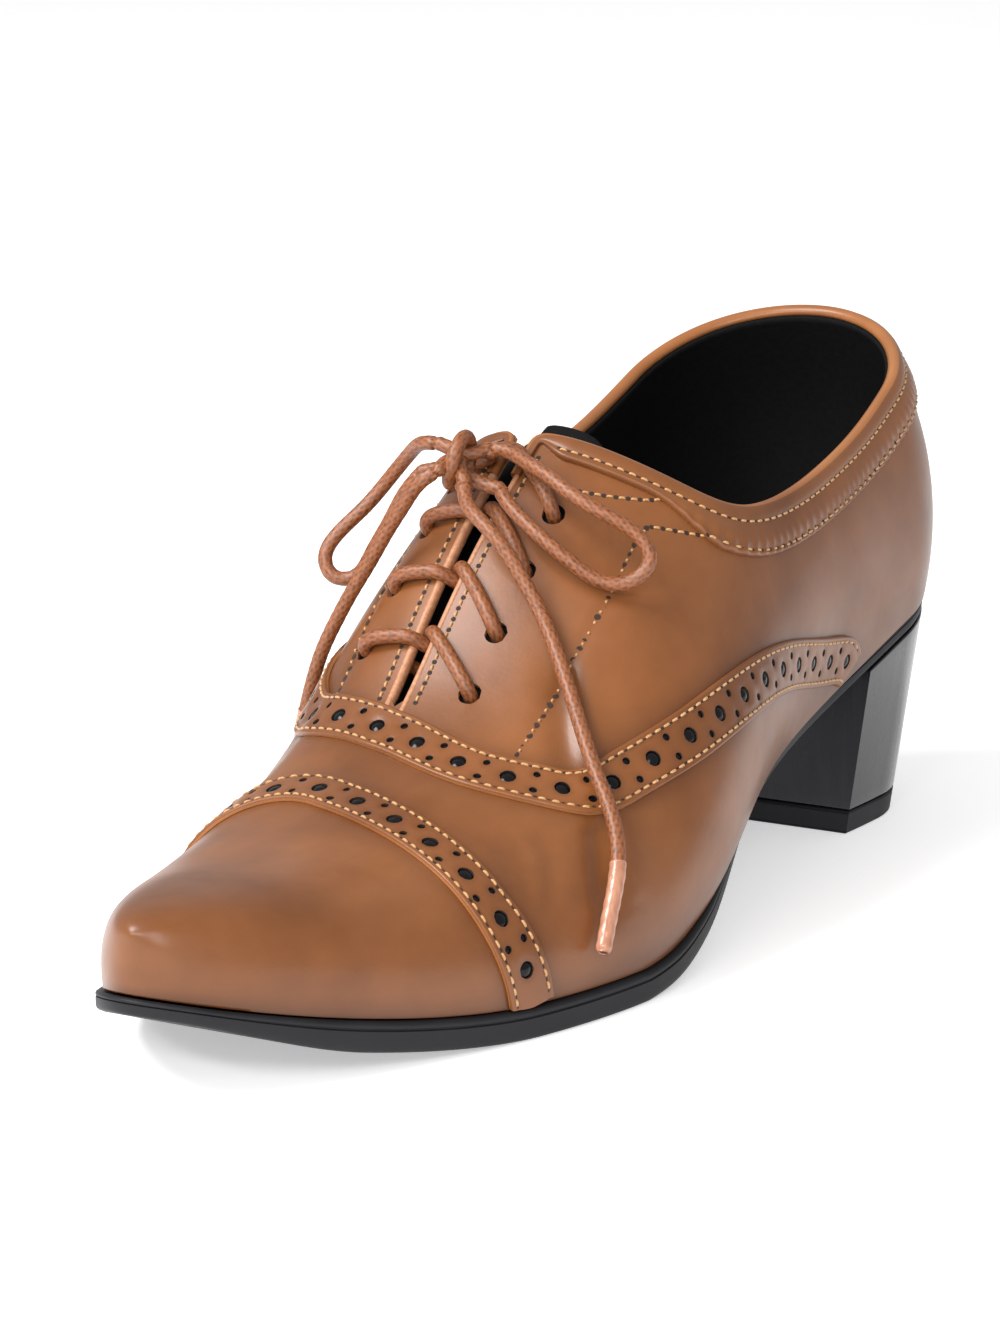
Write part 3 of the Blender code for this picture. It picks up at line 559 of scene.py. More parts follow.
class Track:
    """A line on the last with places beside it: along is its length, across is left of its direction."""

    def __init__(self, stations, girths, low, high, steps=12):
        line = last_point(stations, girths)
        self.lengths = lengths_along(line)
        self.length = self.lengths[-1]
        direction = np.gradient(line, axis=0)
        self.across = np.linspace(low, high, steps + 1)
        start = int(np.argmin(np.abs(self.across)))
        self.places = np.zeros((steps + 1, len(stations), 2))
        first = self.move(np.stack([stations, girths], -1), direction, self.across[start])
        self.places[start] = first
        for order in (range(start + 1, steps + 1), range(start - 1, -1, -1)):
            here = first
            before = self.across[start]
            for i in order:
                here = self.move(here, direction, self.across[i] - before)
                before = self.across[i]
                self.places[i] = here

    @staticmethod
    def move(places, direction, distance):
        """Places a distance to the left, by the surface's own slopes."""
        station, girth = places[:, 0], places[:, 1]
        point = last_point(station, girth)
        by_station = (last_point(station + SMALL_STEP, girth) - point) / SMALL_STEP
        by_girth = (last_point(station, girth + SMALL_STEP) - point) / SMALL_STEP
        wanted = unit(np.cross(np.cross(by_station, by_girth), direction)) * distance
        ss = (by_station * by_station).sum(-1)
        sg = (by_station * by_girth).sum(-1)
        gg = (by_girth * by_girth).sum(-1)
        ws = (by_station * wanted).sum(-1)
        wg = (by_girth * wanted).sum(-1)
        room = ss * gg - sg * sg
        moved = np.stack([station + (ws * gg - wg * sg) / room, girth + (wg * ss - ws * sg) / room], -1)
        moved[:, 1] = np.clip(moved[:, 1], -FEATHER_LIMIT, FEATHER_LIMIT)
        moved[:, 0] = np.clip(moved[:, 0], 0.0, 1.0)
        return moved

    def at(self, along, across):
        """Station and girth at distances along and across."""
        along, across = np.broadcast_arrays(np.asarray(along, float), np.asarray(across, float))
        column_share = np.interp(along, self.lengths, np.arange(len(self.lengths)))
        row_share = np.interp(across, self.across, np.arange(len(self.across)))
        c = np.minimum(column_share.astype(int), len(self.lengths) - 2)
        r = np.minimum(row_share.astype(int), len(self.across) - 2)
        cs, rs = (column_share - c)[..., None], (row_share - r)[..., None]
        near = self.places[r, c] * (1 - cs) + self.places[r, c + 1] * cs
        far = self.places[r + 1, c] * (1 - cs) + self.places[r + 1, c + 1] * cs
        place = near * (1 - rs) + far * rs
        return place[..., 0], place[..., 1]

    def point(self, along, across, out):
        """Point at distances along, across and outside the leather."""
        return surface(*self.at(along, across), out)


# Mesh helpers

def grid_quads(rows, columns, closed=False):
    """Quads of a grid of points; closed joins the last column to the first."""
    index = np.arange(rows * columns).reshape(rows, columns)
    if closed:
        index = np.concatenate([index, index[:, :1]], 1)
    quads = np.stack([index[:-1, :-1], index[1:, :-1], index[1:, 1:], index[:-1, 1:]], -1)
    return quads.reshape(-1, 4).tolist()


def tube_faces(rows, columns):
    """Quads of a round tube, with a flat face at each end."""
    last = (rows - 1) * columns
    ends = [list(range(columns - 1, -1, -1)), list(range(last, last + columns))]
    return grid_quads(rows, columns, closed=True) + ends


def rings_round(line, sides, radius):
    """Points of a tube round a line, its radius given at each ring or at each point."""
    side, other = travelling_frames(line)
    turn = np.linspace(0, 2 * math.pi, sides, endpoint=False)
    ring = side[:, None] * np.cos(turn)[None, :, None] + other[:, None] * np.sin(turn)[None, :, None]
    return line[:, None] + ring * radius[..., None]


def add_piece(name, points, faces, finishes, cad_nodes, face_finish=None):
    """A named mesh that rides on the shoe and stands for CAD nodes."""
    mesh = bpy.data.meshes.new(name)
    mesh.from_pydata(np.asarray(points).reshape(-1, 3).tolist(), [], faces)
    for finish in finishes:
        mesh.materials.append(finish)
    if face_finish is not None:
        mesh.polygons.foreach_set("material_index", face_finish)
    mesh.update()
    mesh.shade_smooth()
    piece = bpy.data.objects.new(name, mesh)
    bpy.context.collection.objects.link(piece)
    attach(piece, "root")
    if cad_nodes:
        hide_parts(*cad_nodes)
    return piece


def tidy_mesh(piece, weld=1e-6):
    """Weld doubles and turn the faces outward."""
    builder = bmesh.new()
    builder.from_mesh(piece.data)
    bmesh.ops.remove_doubles(builder, verts=builder.verts, dist=weld)
    bmesh.ops.dissolve_degenerate(builder, edges=builder.edges, dist=weld / 2)
    loose = [vert for vert in builder.verts if not vert.link_faces]
    bmesh.ops.delete(builder, geom=loose, context="VERTS")
    bmesh.ops.recalc_face_normals(builder, faces=builder.faces)
    builder.to_mesh(piece.data)
    builder.free()


def crease_edges(piece, degrees):
    """Shade the edges that bend by more than some degrees as sharp."""
    piece.data.set_sharp_from_angle(angle=math.radians(degrees))


def paint(piece, name, values):
    """Store a value from 0 to 1 at each point, for the material to read."""
    layer = piece.data.attributes.new(name, "FLOAT", "POINT")
    layer.data.foreach_set("value", np.ascontiguousarray(values, dtype=np.float32).ravel())


def welded(points, faces, weld=1e-6):
    """The faces on each point's first double, without those that shrink to a line."""
    keys = np.round(points / weld).astype(np.int64)
    _, first, same = np.unique(keys, axis=0, return_index=True, return_inverse=True)
    index = first[same.ravel()]
    kept = []
    for face in index[np.array(faces)].tolist():
        corners = [vert for vert, before in zip(face, face[-1:] + face[:-1]) if vert != before]
        if len(set(corners)) > 2:
            kept.append(corners)
    return kept


def shell_faces(faces, count):
    """Faces of a sheet, of its copy turned over and of the wall between their borders."""
    edges = {}
    for face in faces:
        for start, end in zip(face, face[1:] + face[:1]):
            edges[(start, end)] = True
    walls = [[end, start, start + count, end + count] for start, end in edges if (end, start) not in edges]
    under = [[vert + count for vert in reversed(face)] for face in faces]
    return faces, under, walls


# Materials

def new_material(name, colour, roughness):
    """A material of one colour, with its nodes, links and shader."""
    made = bpy.data.materials.new(name)
    made.use_nodes = True
    shader = made.node_tree.nodes["Principled BSDF"]
    shader.inputs["Base Color"].default_value = (*colour, 1.0)
    shader.inputs["Roughness"].default_value = roughness
    made.diffuse_color = (*colour, 1.0)
    return made, made.node_tree.nodes, made.node_tree.links, shader


def object_coords(nodes, links, stretch=(1, 1, 1)):
    """Coordinates in metres of the piece itself."""
    coords = nodes.new("ShaderNodeTexCoord")
    mapping = nodes.new("ShaderNodeMapping")
    mapping.inputs["Scale"].default_value = stretch
    links.new(coords.outputs["Object"], mapping.inputs["Vector"])
    return mapping.outputs["Vector"]


def noise(nodes, links, vector, scale, detail=3.0, rough=0.5):
    """Values of a noise texture from 0 to 1."""
    made = nodes.new("ShaderNodeTexNoise")
    made.inputs["Scale"].default_value = scale
    made.inputs["Detail"].default_value = detail
    made.inputs["Roughness"].default_value = rough
    links.new(vector, made.inputs["Vector"])
    return made.outputs["Fac"]


def ramp(nodes, links, value, stops):
    """Colour or grey steps over a value: (place, colour) rows."""
    made = nodes.new("ShaderNodeValToRGB")
    elements = made.color_ramp.elements
    while len(elements) < len(stops):
        elements.new(0.5)
    for element, (place, colour) in zip(elements, stops):
        element.position = place
        element.color = (*colour, 1.0)
    links.new(value, made.inputs["Fac"])
    return made.outputs["Color"]


def grey(value):
    return (value, value, value)


def mixed(nodes, links, kind, share, first, second):
    """Two colours mixed by a share, which is a number or a socket."""
    made = nodes.new("ShaderNodeMix")
    made.data_type = "RGBA"
    made.blend_type = kind
    if isinstance(share, float):
        made.inputs["Factor"].default_value = share
    else:
        links.new(share, made.inputs["Factor"])
    for slot, colour in ((6, first), (7, second)):
        if isinstance(colour, tuple):
            made.inputs[slot].default_value = (*colour, 1.0)
        else:
            links.new(colour, made.inputs[slot])
    return made.outputs[2]


def attribute(nodes, name):
    """Values that paint has stored at the points."""
    made = nodes.new("ShaderNodeAttribute")
    made.attribute_name = name
    return made.outputs["Fac"]


def bump(nodes, links, height, strength, distance, after=None):
    """Normals bent by a height, on top of another bump where one is given."""
    made = nodes.new("ShaderNodeBump")
    made.inputs["Strength"].default_value = strength
    made.inputs["Distance"].default_value = distance
    links.new(height, made.inputs["Height"])
    if after is not None:
        links.new(after, made.inputs["Normal"])
    return made.outputs["Normal"]


def leather_material(name, base, deep, pale):
    """Smooth burnished calf: mottled colour, darker where it is burnished and where painted shade is laid in,
    a fine grain under a thin wax.
    """
    made, nodes, links, shader = new_material(name, base, 0.36)
    vector = object_coords(nodes, links)
    clouds = noise(nodes, links, vector, 28.0, 4.0, 0.55)
    colour = ramp(nodes, links, clouds, ((0.30, deep), (0.52, base), (0.78, pale)))
    streaks = noise(nodes, links, object_coords(nodes, links, (1.0, 0.35, 1.0)), 160.0, 3.0)
    tone = ramp(nodes, links, streaks, ((0.25, grey(0.90)), (0.75, grey(1.06))))
    colour = mixed(nodes, links, "MULTIPLY", 1.0, colour, tone)
    # Darken towards the deep tone where the points hold burnish or painted shade
    colour = mixed(nodes, links, "MIX", attribute(nodes, "burnish_and_shade"), colour, tuple(0.42 * c for c in deep))
    links.new(colour, shader.inputs["Base Color"])
    gloss = ramp(nodes, links, noise(nodes, links, vector, 70.0, 3.0), ((0.3, grey(0.33)), (0.7, grey(0.45))))
    links.new(gloss, shader.inputs["Roughness"])
    grain = nodes.new("ShaderNodeTexVoronoi")
    grain.inputs["Scale"].default_value = 1500.0
    links.new(vector, grain.inputs["Vector"])
    pores = noise(nodes, links, vector, 2600.0, 2.0)
    normal = bump(nodes, links, grain.outputs["Distance"], 0.10, 0.00010)
    normal = bump(nodes, links, pores, 0.08, 0.00010, normal)
    normal = bump(nodes, links, noise(nodes, links, vector, 130.0, 2.0), 0.10, 0.00060, normal)
    links.new(normal, shader.inputs["Normal"])
    shader.inputs["Coat Weight"].default_value = 0.20
    shader.inputs["Coat Roughness"].default_value = 0.20
    shader.inputs["Specular IOR Level"].default_value = 0.32
    return made


def speckled_material(name, colour, roughness, scale, stops, detail=3.0, relief=None, stretch=(1, 1, 1)):
    """A material whose colour, and relief where it has one, follow one fine noise."""
    made, nodes, links, shader = new_material(name, colour, roughness)
    speckle = noise(nodes, links, object_coords(nodes, links, stretch), scale, detail)
    links.new(ramp(nodes, links, speckle, stops), shader.inputs["Base Color"])
    if relief:
        links.new(bump(nodes, links, speckle, *relief), shader.inputs["Normal"])
    return made, nodes, links, shader, speckle


def cut_edge_material():
    """Trimmed leather edges, paler and drier than the face."""
    stops = ((0.25, (0.33, 0.135, 0.060)), (0.75, (0.50, 0.245, 0.130)))
    return speckled_material("cut_edge", (0.42, 0.19, 0.09), 0.50, 1400.0, stops, 4.0, (0.25, 0.00012))[0]


def lining_material():
    """Dull black textile of the lining and insole; on the tongue the same black is painted shade of the
    throat's gap.
    """
    stops = ((0.2, (0.0026, 0.0026, 0.0030)), (0.8, (0.0052, 0.0052, 0.0058)))
    made, _, _, shader, _ = speckled_material("black_lining", (0.0040, 0.0040, 0.0046), 0.80, 900.0,
                                              stops, 4.0, (0.2, 0.00012))
    shader.inputs["Specular IOR Level"].default_value = 0.12
    return made


def gloss_black_material():
    """Shiny black that shows through the punched holes, painted shade in place of the leather under them."""
    made, nodes, links, shader = new_material("hole_shade_backing", (0.004, 0.004, 0.005), 0.16)
    shader.inputs["Specular IOR Level"].default_value = 0.22
    wear = noise(nodes, links, object_coords(nodes, links), 900.0, 2.0)
    links.new(ramp(nodes, links, wear, ((0.3, grey(0.10)), (0.7, grey(0.24)))), shader.inputs["Roughness"])
    return made


def thread_material():
    """Golden sewing thread with a slight twist in its tone."""
    stops = ((0.25, (0.36, 0.17, 0.055)), (0.75, (0.58, 0.34, 0.14)))
    made, _, _, shader, _ = speckled_material("gold_thread", (0.55, 0.30, 0.11), 0.55, 2400.0, stops,
                                              relief=(0.3, 0.0001))
    shader.inputs["Sheen Weight"].default_value = 0.25
    return made


def needle_hole_shade_material():
    """Painted shade inside the needle holes and on the walls of the punched holes."""
    stops = ((0.2, (0.012, 0.006, 0.003)), (0.8, (0.034, 0.015, 0.007)))
    return speckled_material("needle_hole_shade", (0.020, 0.009, 0.004), 0.85, 1800.0, stops, 2.0)[0]


def cord_material():
    """Round waxed cord: painted shade darkens the grooves between its braid's strands, and the crowns stay
    paler.
    """
    made, nodes, links, shader = new_material("waxed_cord", (0.46, 0.17, 0.068), 0.48)
    # Dark to pale over the braid's height: painted shade in the grooves between the strands
    stops = ((0.05, (0.075, 0.021, 0.007)), (0.45, (0.180, 0.056, 0.017)), (0.95, (0.262, 0.086, 0.028)))
    colour = ramp(nodes, links, attribute(nodes, "weave"), stops)
    specks = noise(nodes, links, object_coords(nodes, links), 1500.0, 3.0, 0.6)
    tone = ramp(nodes, links, specks, ((0.34, grey(0.42)), (0.48, grey(0.96)), (0.72, grey(1.22))))
    links.new(mixed(nodes, links, "MULTIPLY", 0.8, colour, tone), shader.inputs["Base Color"])
    links.new(bump(nodes, links, specks, 0.25, 0.00015), shader.inputs["Normal"])
    shader.inputs["Coat Weight"].default_value = 0.12
    shader.inputs["Coat Roughness"].default_value = 0.4
    return made


def lace_tip_material():
    """Pressed sleeve at each lace end, in the lace's own tan."""
    stops = ((0.3, (0.33, 0.135, 0.075)), (0.7, (0.50, 0.24, 0.15)))
    made, _, _, shader, _ = speckled_material("lace_tip", (0.42, 0.19, 0.11), 0.30, 700.0, stops,
                                              stretch=(1, 1, 0.2))
    shader.inputs["Coat Weight"].default_value = 0.3
    return made


def tongue_tip_material():
    """Pale colour of the tongue's tip."""
    stops = ((0.3, (0.55, 0.45, 0.38)), (0.7, (0.76, 0.67, 0.60)))
    return speckled_material("tongue_tip_pale", (0.66, 0.56, 0.48), 0.6, 1200.0, stops,
                             relief=(0.2, 0.0001))[0]


def sole_material():
    """Matte black sole: a faint cloudy dust and fine trimming lines."""
    stops = ((0.3, (0.0060, 0.0060, 0.0075)), (0.75, (0.013, 0.013, 0.016)))
    made, nodes, links, shader, dust = speckled_material("black_sole", (0.009, 0.009, 0.011), 0.58, 60.0,
                                                         stops, 4.0)
    shader.inputs["Specular IOR Level"].default_value = 0.28
    links.new(ramp(nodes, links, dust, ((0.3, grey(0.50)), (0.7, grey(0.64)))), shader.inputs["Roughness"])
    lines = noise(nodes, links, object_coords(nodes, links, (0.08, 0.08, 1.0)), 2200.0, 2.0)
    grain = noise(nodes, links, object_coords(nodes, links), 1700.0, 2.0)
    normal = bump(nodes, links, lines, 0.12, 0.00012)
    links.new(bump(nodes, links, grain, 0.12, 0.0001, normal), shader.inputs["Normal"])
    return made


def heel_material():
    """Polished black heel cover with a soft sheen over faint upright brush marks."""
    stops = ((0.3, (0.006, 0.006, 0.009)), (0.7, (0.011, 0.011, 0.015)))
    made, nodes, links, shader, brush = speckled_material("black_heel", (0.008, 0.008, 0.011), 0.27, 420.0,
                                                          stops, relief=(0.05, 0.0001),
                                                          stretch=(1.0, 1.0, 0.12))
    links.new(ramp(nodes, links, brush, ((0.3, grey(0.22)), (0.7, grey(0.33)))), shader.inputs["Roughness"])
    shader.inputs["Specular IOR Level"].default_value = 0.35
    shader.inputs["Coat Weight"].default_value = 0.40
    shader.inputs["Coat Roughness"].default_value = 0.20
    return made


def floor_material():
    """Pale floor, a little lit by itself so that it stays plain to its far edge."""
    stops = ((0.3, grey(0.89)), (0.7, grey(0.91)))
    made, _, _, shader, _ = speckled_material("pale_floor", (0.90, 0.90, 0.90), 0.75, 3.0, stops, 2.0)
    shader.inputs["Emission Color"].default_value = (1.0, 1.0, 1.0, 1.0)
    shader.inputs["Emission Strength"].default_value = FLOOR_GLOW
    return made


# Leathers: base, deep and pale tone
TAN = leather_material("tan_leather", (0.196, 0.067, 0.0190), (0.134, 0.042, 0.010), (0.248, 0.090, 0.028))
STRIP = leather_material("strip_leather", (0.186, 0.062, 0.0165), (0.132, 0.041, 0.010),
                         (0.234, 0.082, 0.024))
EDGE_LEATHER = leather_material("edge_leather", (0.310, 0.115, 0.035), (0.240, 0.080, 0.022),
                                (0.370, 0.150, 0.052))
CUT_EDGE = cut_edge_material()
LINING = lining_material()
# Gloss black laid in the punched holes as their painted shade
HOLE_SHADE_BACKING = gloss_black_material()
THREAD = thread_material()
NEEDLE_SHADE = needle_hole_shade_material()
CORD = cord_material()
LACE_TIP = lace_tip_material()
TONGUE_EDGE = tongue_tip_material()
RUBBER = sole_material()
LACQUER = heel_material()


# Camera

def make_camera():
    """The camera, at the photograph's angle."""
    data = bpy.data.cameras.new("camera")
    data.sensor_width = 36.0
    data.lens = CAMERA_LENS
    data.clip_start = 0.05
    data.clip_end = 60.0
    camera = bpy.data.objects.new("camera", data)
    bpy.context.collection.objects.link(camera)
    camera.location = CAMERA_PLACE
    aim = Vector(CAMERA_TARGET) - Vector(CAMERA_PLACE)
    camera.rotation_euler = aim.to_track_quat("-Z", "Y").to_euler()
    bpy.context.scene.camera = camera


# Lace

def smooth_line(points, spacing):
    """Evenly spaced points of a smooth curve through a few points, and its length."""
    points = np.asarray(points, float)
    share = lengths_along(points)
    through = [spline(share, points[:, axis]) for axis in range(3)]
    fine = np.stack([axis(np.linspace(0, share[-1], 400)) for axis in through], -1)
    lengths = lengths_along(fine)
    count = max(4, int(lengths[-1] / spacing) + 1)
    places = np.linspace(0, lengths[-1], count)
    line = np.stack([np.interp(places, lengths, fine[:, axis]) for axis in range(3)], -1)
    return line, float(lengths[-1])


def travelling_frames(line):
    """Two cross directions at each point, which turn with the line and never twist."""
    ahead = unit(np.gradient(line, axis=0))
    side = np.zeros_like(line)
    start = np.cross(ahead[0], (0.0, 0.0, 1.0))
    if np.linalg.norm(start) < 0.1:
        start = np.cross(ahead[0], (1.0, 0.0, 0.0))
    side[0] = start / np.linalg.norm(start)
    for i in range(1, len(line)):
        carried = side[i - 1] - ahead[i] * side[i - 1].dot(ahead[i])
        side[i] = carried / np.linalg.norm(carried)
    return side, np.cross(ahead, side)


def braided_tube(points):
    """Round cord with its braid raised: points, faces, the weave's height and the centre line."""
    line, length = smooth_line(points, CORD_SPACING)
    turn = np.linspace(0, 2 * math.pi, CORD_SIDES, endpoint=False)
    along = np.linspace(0, length, len(line))[:, None]
    left = np.cos(BRAID_STRANDS * turn[None] + 2 * math.pi * along / BRAID_PITCH)
    right = np.cos(BRAID_STRANDS * turn[None] - 2 * math.pi * along / BRAID_PITCH)
    weave = 0.5 + 0.5 * np.maximum(left, right)
    end = np.minimum(along, length - along)
    closing = np.sqrt(np.clip(end / (LACE_WIDTH * 0.5), CORD_END, 1))
    rings = rings_round(line, CORD_SIDES, (LACE_WIDTH / 2 - BRAID_DEPTH * (1 - weave)) * closing)
    return rings.reshape(-1, 3), tube_faces(len(line), CORD_SIDES), weave.ravel(), line, length


def add_cords(name, strands, cad_nodes):
    """One piece of one or more braided strands, with the last one's centre line and length."""
    points, faces, weave = [], [], []
    for strand in strands:
        made, made_faces, made_weave, line, length = braided_tube(strand)
        start = sum(len(part) for part in points)
        points.append(made)
        weave.append(made_weave)
        faces += [[vert + start for vert in face] for face in made_faces]
    piece = add_piece(name, np.concatenate(points), faces, [CORD], cad_nodes)
    paint(piece, "weave", np.concatenate(weave))
    return piece, line, length


def lace_tip(name, line):
    """Pressed sleeve over the last stretch of a lace end, with faint rings and a closed tip."""
    spans = lengths_along(line)
    keep = line[spans >= spans[-1] - TIP_LENGTH]
    share = np.linspace(0, 1, len(keep))
    radius = LACE_WIDTH / 2 + TIP_WALL - TIP_TAPER * share + TIP_RING * np.cos(share * 40)
    radius[:2] *= (0.95, 0.99)
    radius[-3:] *= (0.96, 0.88, 0.66)
    rings = rings_round(keep, TIP_SIDES, radius[:, None])
    return add_piece(name, rings, tube_faces(len(keep), TIP_SIDES), [LACE_TIP], ())


def make_bow():
    """Loops and hanging ends of the bow, each a cord that stands for its CAD node, with a tip on each end."""
    for node, route in LACE_ROUTES.items():
        points = np.array(route) * MM
        piece, line, length = add_cords(node.replace("lace", "bow"), [points], [node])
        is_end = "end" in node
        tips = [lace_tip(node.replace("lace_end", "lace_tip"), line)] if is_end else []


def lengthened(points, more):
    """A line with both ends carried straight on, to run into the cord that follows."""
    first = points[0] + unit(points[0] - points[1]) * more
    last = points[-1] + unit(points[-1] - points[-2]) * more
    return np.concatenate([[first], points, [last]])


def make_knot():
    """The strands that cross in the knot and the wrap that holds them; the wrap, a wound cord, stands for the
    knot's CAD node.
    """
    across = unit(np.array(KNOT_ACROSS))
    up = unit(np.cross(across, KNOT_FRONT))
    out = np.cross(up, across)
    turns = np.linspace(-0.35, 2 * math.pi * 1.12, 40)
    drift = np.linspace(*WRAP_DRIFT, 40)
    ring = up * np.cos(turns)[:, None] * WRAP_RADII[0] + out * np.sin(turns)[:, None] * WRAP_RADII[1]
    wrap = np.array(KNOT_CENTRE) * MM + across * drift[:, None] + ring
    piece, line, length = add_cords("bow_knot_wrap", [wrap], ["lace_knot"])
    strands = [lengthened(np.array(strand) * MM, STRAND_OVERLAP) for strand in KNOT_STRANDS]
    heart = add_cords("bow_knot_strands", strands, ())[0]
    tuple(line[0])


def facing_place(station, across):
    """Station and girth at a distance from the crest, minus on the inner side."""
    side = 1 if across > 0 else -1
    return station, side * girth_across(station, side, abs(across))


def bar_route(side, index):
    """One lace bar: up its eyelet, over the facing, down the gap and on under the other facing."""
    station = EYELET_STATIONS[index][side > 0]
    apex = sum(EYELET_STATIONS[index]) / 2 - CROSSING_RISE - side * BAR_SPREAD / 2
    top = index == len(EYELET_STATIONS) - 1
    points = []
    for share, out in BAR_OVER + (BAR_TO_KNOT if top else BAR_DOWN):
        place = apex + (station - apex) * max(share, 0.0) ** 1.2
        points.append(surface(*facing_place(place, side * share * EYELET_REACH), out * MM))
    if top:
        points.append(np.array(KNOT_CENTRE) * MM + (side * 0.0030, 0.0030, 0.0008))
    else:
        far = EYELET_STATIONS[index + 1][side < 0]
        for share, out in BAR_UNDER:
            place = apex + (far - apex) * -share
            points.append(surface(*facing_place(place, side * share * EYELET_REACH), out * MM))
    return np.array(points)


def bottom_bar():
    """The straight bar inside the throat that joins the first two eyelets."""
    points = []
    for share in (-1.0, -0.8, -0.4, 0.001, 0.4, 0.8, 1.0):
        place = np.interp(share, (-1, 1), EYELET_STATIONS[0])
        points.append(surface(*facing_place(place, share * EYELET_REACH), BOTTOM_BAR_OUT))
    return np.array(points)


def make_lace_bars():
    """One piece for each crossing of the throat, the lowest with the bar inside."""
    for index in range(len(EYELET_STATIONS)):
        strands = [bar_route(side, index) for side in (-1, 1)]
        if index == 0:
            strands.append(bottom_bar())
        add_cords(f"lace_bars_{index + 1}", strands, [f"lace_crossing_{index + 1}"])


# Upper

def upper_stations():
    """Stations, closer together at both ends and at the facing tab."""
    quarter = np.linspace(0, math.pi / 2, 26)
    counter = HEEL_ROUND * (1 - np.cos(quarter))
    collar = np.linspace(HEEL_ROUND, TAB_STATION - TAB_REACH, 44)
    corner = TAB_STATION - TAB_REACH * (1 - np.sin(quarter))
    throat = np.linspace(TAB_STATION, THROAT_FRONT, 32)
    vamp = np.linspace(THROAT_FRONT, 1 - CREST_ROUND, 40)
    toe = 1 - CREST_ROUND * (1 - np.sin(quarter))
    return np.concatenate([counter, collar[1:], corner[1:], throat[1:], vamp[1:], toe[1:]])


def upper_places(stations, columns, drop=0.0):
    """Station and girth grids of both halves of the upper, from the rim to the feather edge."""
    halves = []
    shares = np.linspace(0, 1, columns)
    for side in (-1, 1):
        tops = np.array([RIM[side](s) + drop if s < THROAT_FRONT else 0.0 for s in stations])
        girths = side * (tops[:, None] + (1 - tops[:, None]) * shares[None])
        halves.append((np.repeat(stations[:, None], columns, 1), girths))
    return halves


def eyelet_centres():
    """Centre and outward direction of every lace hole."""
    for side in (-1, 1):
        for index in range(len(EYELET_STATIONS)):
            station = EYELET_STATIONS[index][side > 0]
            girth = side * girth_across(station, side, EYELET_REACH)
            yield last_point(station, girth), last_normal(station, girth)


def punch(points, quads, radius):
    """Open the lace holes in a sheet and pull each hole's border onto its circle."""
    quads = np.array(quads)
    gone = np.zeros(len(quads), bool)
    for centre, normal in eyelet_centres():
        apart = np.linalg.norm(points - centre, axis=1)
        inside = apart < radius
        hit = inside[quads].any(1) & ~gone
        gone |= hit
        border = np.unique(quads[hit])
        border = border[~inside[border]]
        away = points[border] - centre
        height = (away @ normal)[:, None] * normal
        points[border] = centre + height + unit(away - height) * radius
    return points, quads[~gone].tolist()


def beside_line(points, path, half):
    """Fades from 1 at a strip's edge to 0 a few millimetres away from it."""
    line = last_point(*follow(path, 160))
    apart = np.array([np.linalg.norm(line - point, axis=1).min() for point in points.reshape(-1, 3)])
    return np.exp(-np.clip(apart - half, 0, None) / SHADE_REACH).reshape(points.shape[:-1])


def burnish_and_shade_amount(stations, girths):
    """Darker polish on the toe and counter, darker towards the feather edge, and painted shade in the fold
    troughs and beside the strips.
    """
    points = last_point(stations, girths)
    amount = blend(0.0, 0.385, 0.888, 1.0, np.abs(girths))
    amount += blend(0.0, 0.16, 0.80, 1.0, stations) + blend(0.28, 0.0, 0.02, 0.20, stations)
    # Painted shade beside both strips and in the troughs of the folds
    amount += SHADE_DEPTH * beside_line(points, CAP_PATH, CAP_STRIP_WIDTH / 2)
    amount += SHADE_DEPTH * beside_line(points, WING_PATH, WING_STRIP_WIDTH / 2)
    amount += SHADE_DEPTH * np.clip(-fold_height(points) / 0.0012, 0, 1)
    return np.clip(amount, 0, 1)


def upper_sheets(stations, columns, drop, outside, inside):
    """Outer and inner skin of both halves, and the quads that join the points of either."""
    outer, inner, quads = [], [], []
    for number, (along, girths) in enumerate(upper_places(stations, columns, drop)):
        outer.append(surface(along, girths, outside).reshape(-1, 3))
        inner.append(surface(along, girths, inside).reshape(-1, 3))
        faces = np.array(grid_quads(len(stations), columns)) + number * len(stations) * columns
        quads += (faces if number else faces[:, ::-1]).tolist()
    return np.concatenate(outer), np.concatenate(inner), quads


def make_upper():
    """Tan skin in one closed shell, open at the collar, down the throat and underneath."""
    stations = upper_stations()
    outer, inner, quads = upper_sheets(stations, UPPER_COLUMNS, 0.0, 0.0, LEATHER_INSIDE)
    points, faces = punch(outer, quads, EYELET_WIDTH / 2)
    inner, _ = punch(inner, quads, EYELET_WIDTH / 2 + abs(LEATHER_INSIDE) * 0.1)
    skin, under, walls = shell_faces(welded(points, faces), len(points))
    finish = [0] * (len(skin) + len(under)) + [1] * len(walls)
    piece = add_piece("upper_leather", np.concatenate([points, inner]), skin + under + walls, [TAN, CUT_EDGE],
                      ["upper"], finish)
    shade = [burnish_and_shade_amount(*half).ravel() for half in upper_places(stations, UPPER_COLUMNS)]
    paint(piece, "burnish_and_shade", np.concatenate(shade * 2))
    tidy_mesh(piece)
    crease_edges(piece, 50)
    soften_toe_tip(piece)


def soften_toe_tip(piece):
    """No sharp edges where every line of the last meets at the toe."""
    limit = last_point(1.0, 0.0)[1] + TIP_REACH
    mesh = piece.data
    for edge in mesh.edges:
        if all(mesh.vertices[vert].co.y < limit for vert in edge.vertices):
            edge.use_edge_sharp = False


def make_lining():
    """Black lining just inside the leather, its edge a little under the rim."""
    outer, inner, quads = upper_sheets(upper_stations()[::2], LINING_COLUMNS, LINING_DROP, LINING_OUTSIDE,
                                       LINING_INSIDE)
    skin, under, walls = shell_faces(welded(outer, quads), len(outer))
    piece = add_piece("upper_lining", np.concatenate([outer, inner]), skin + under + walls, [LINING], ())
    tidy_mesh(piece)


# Edges along the collar and the throat

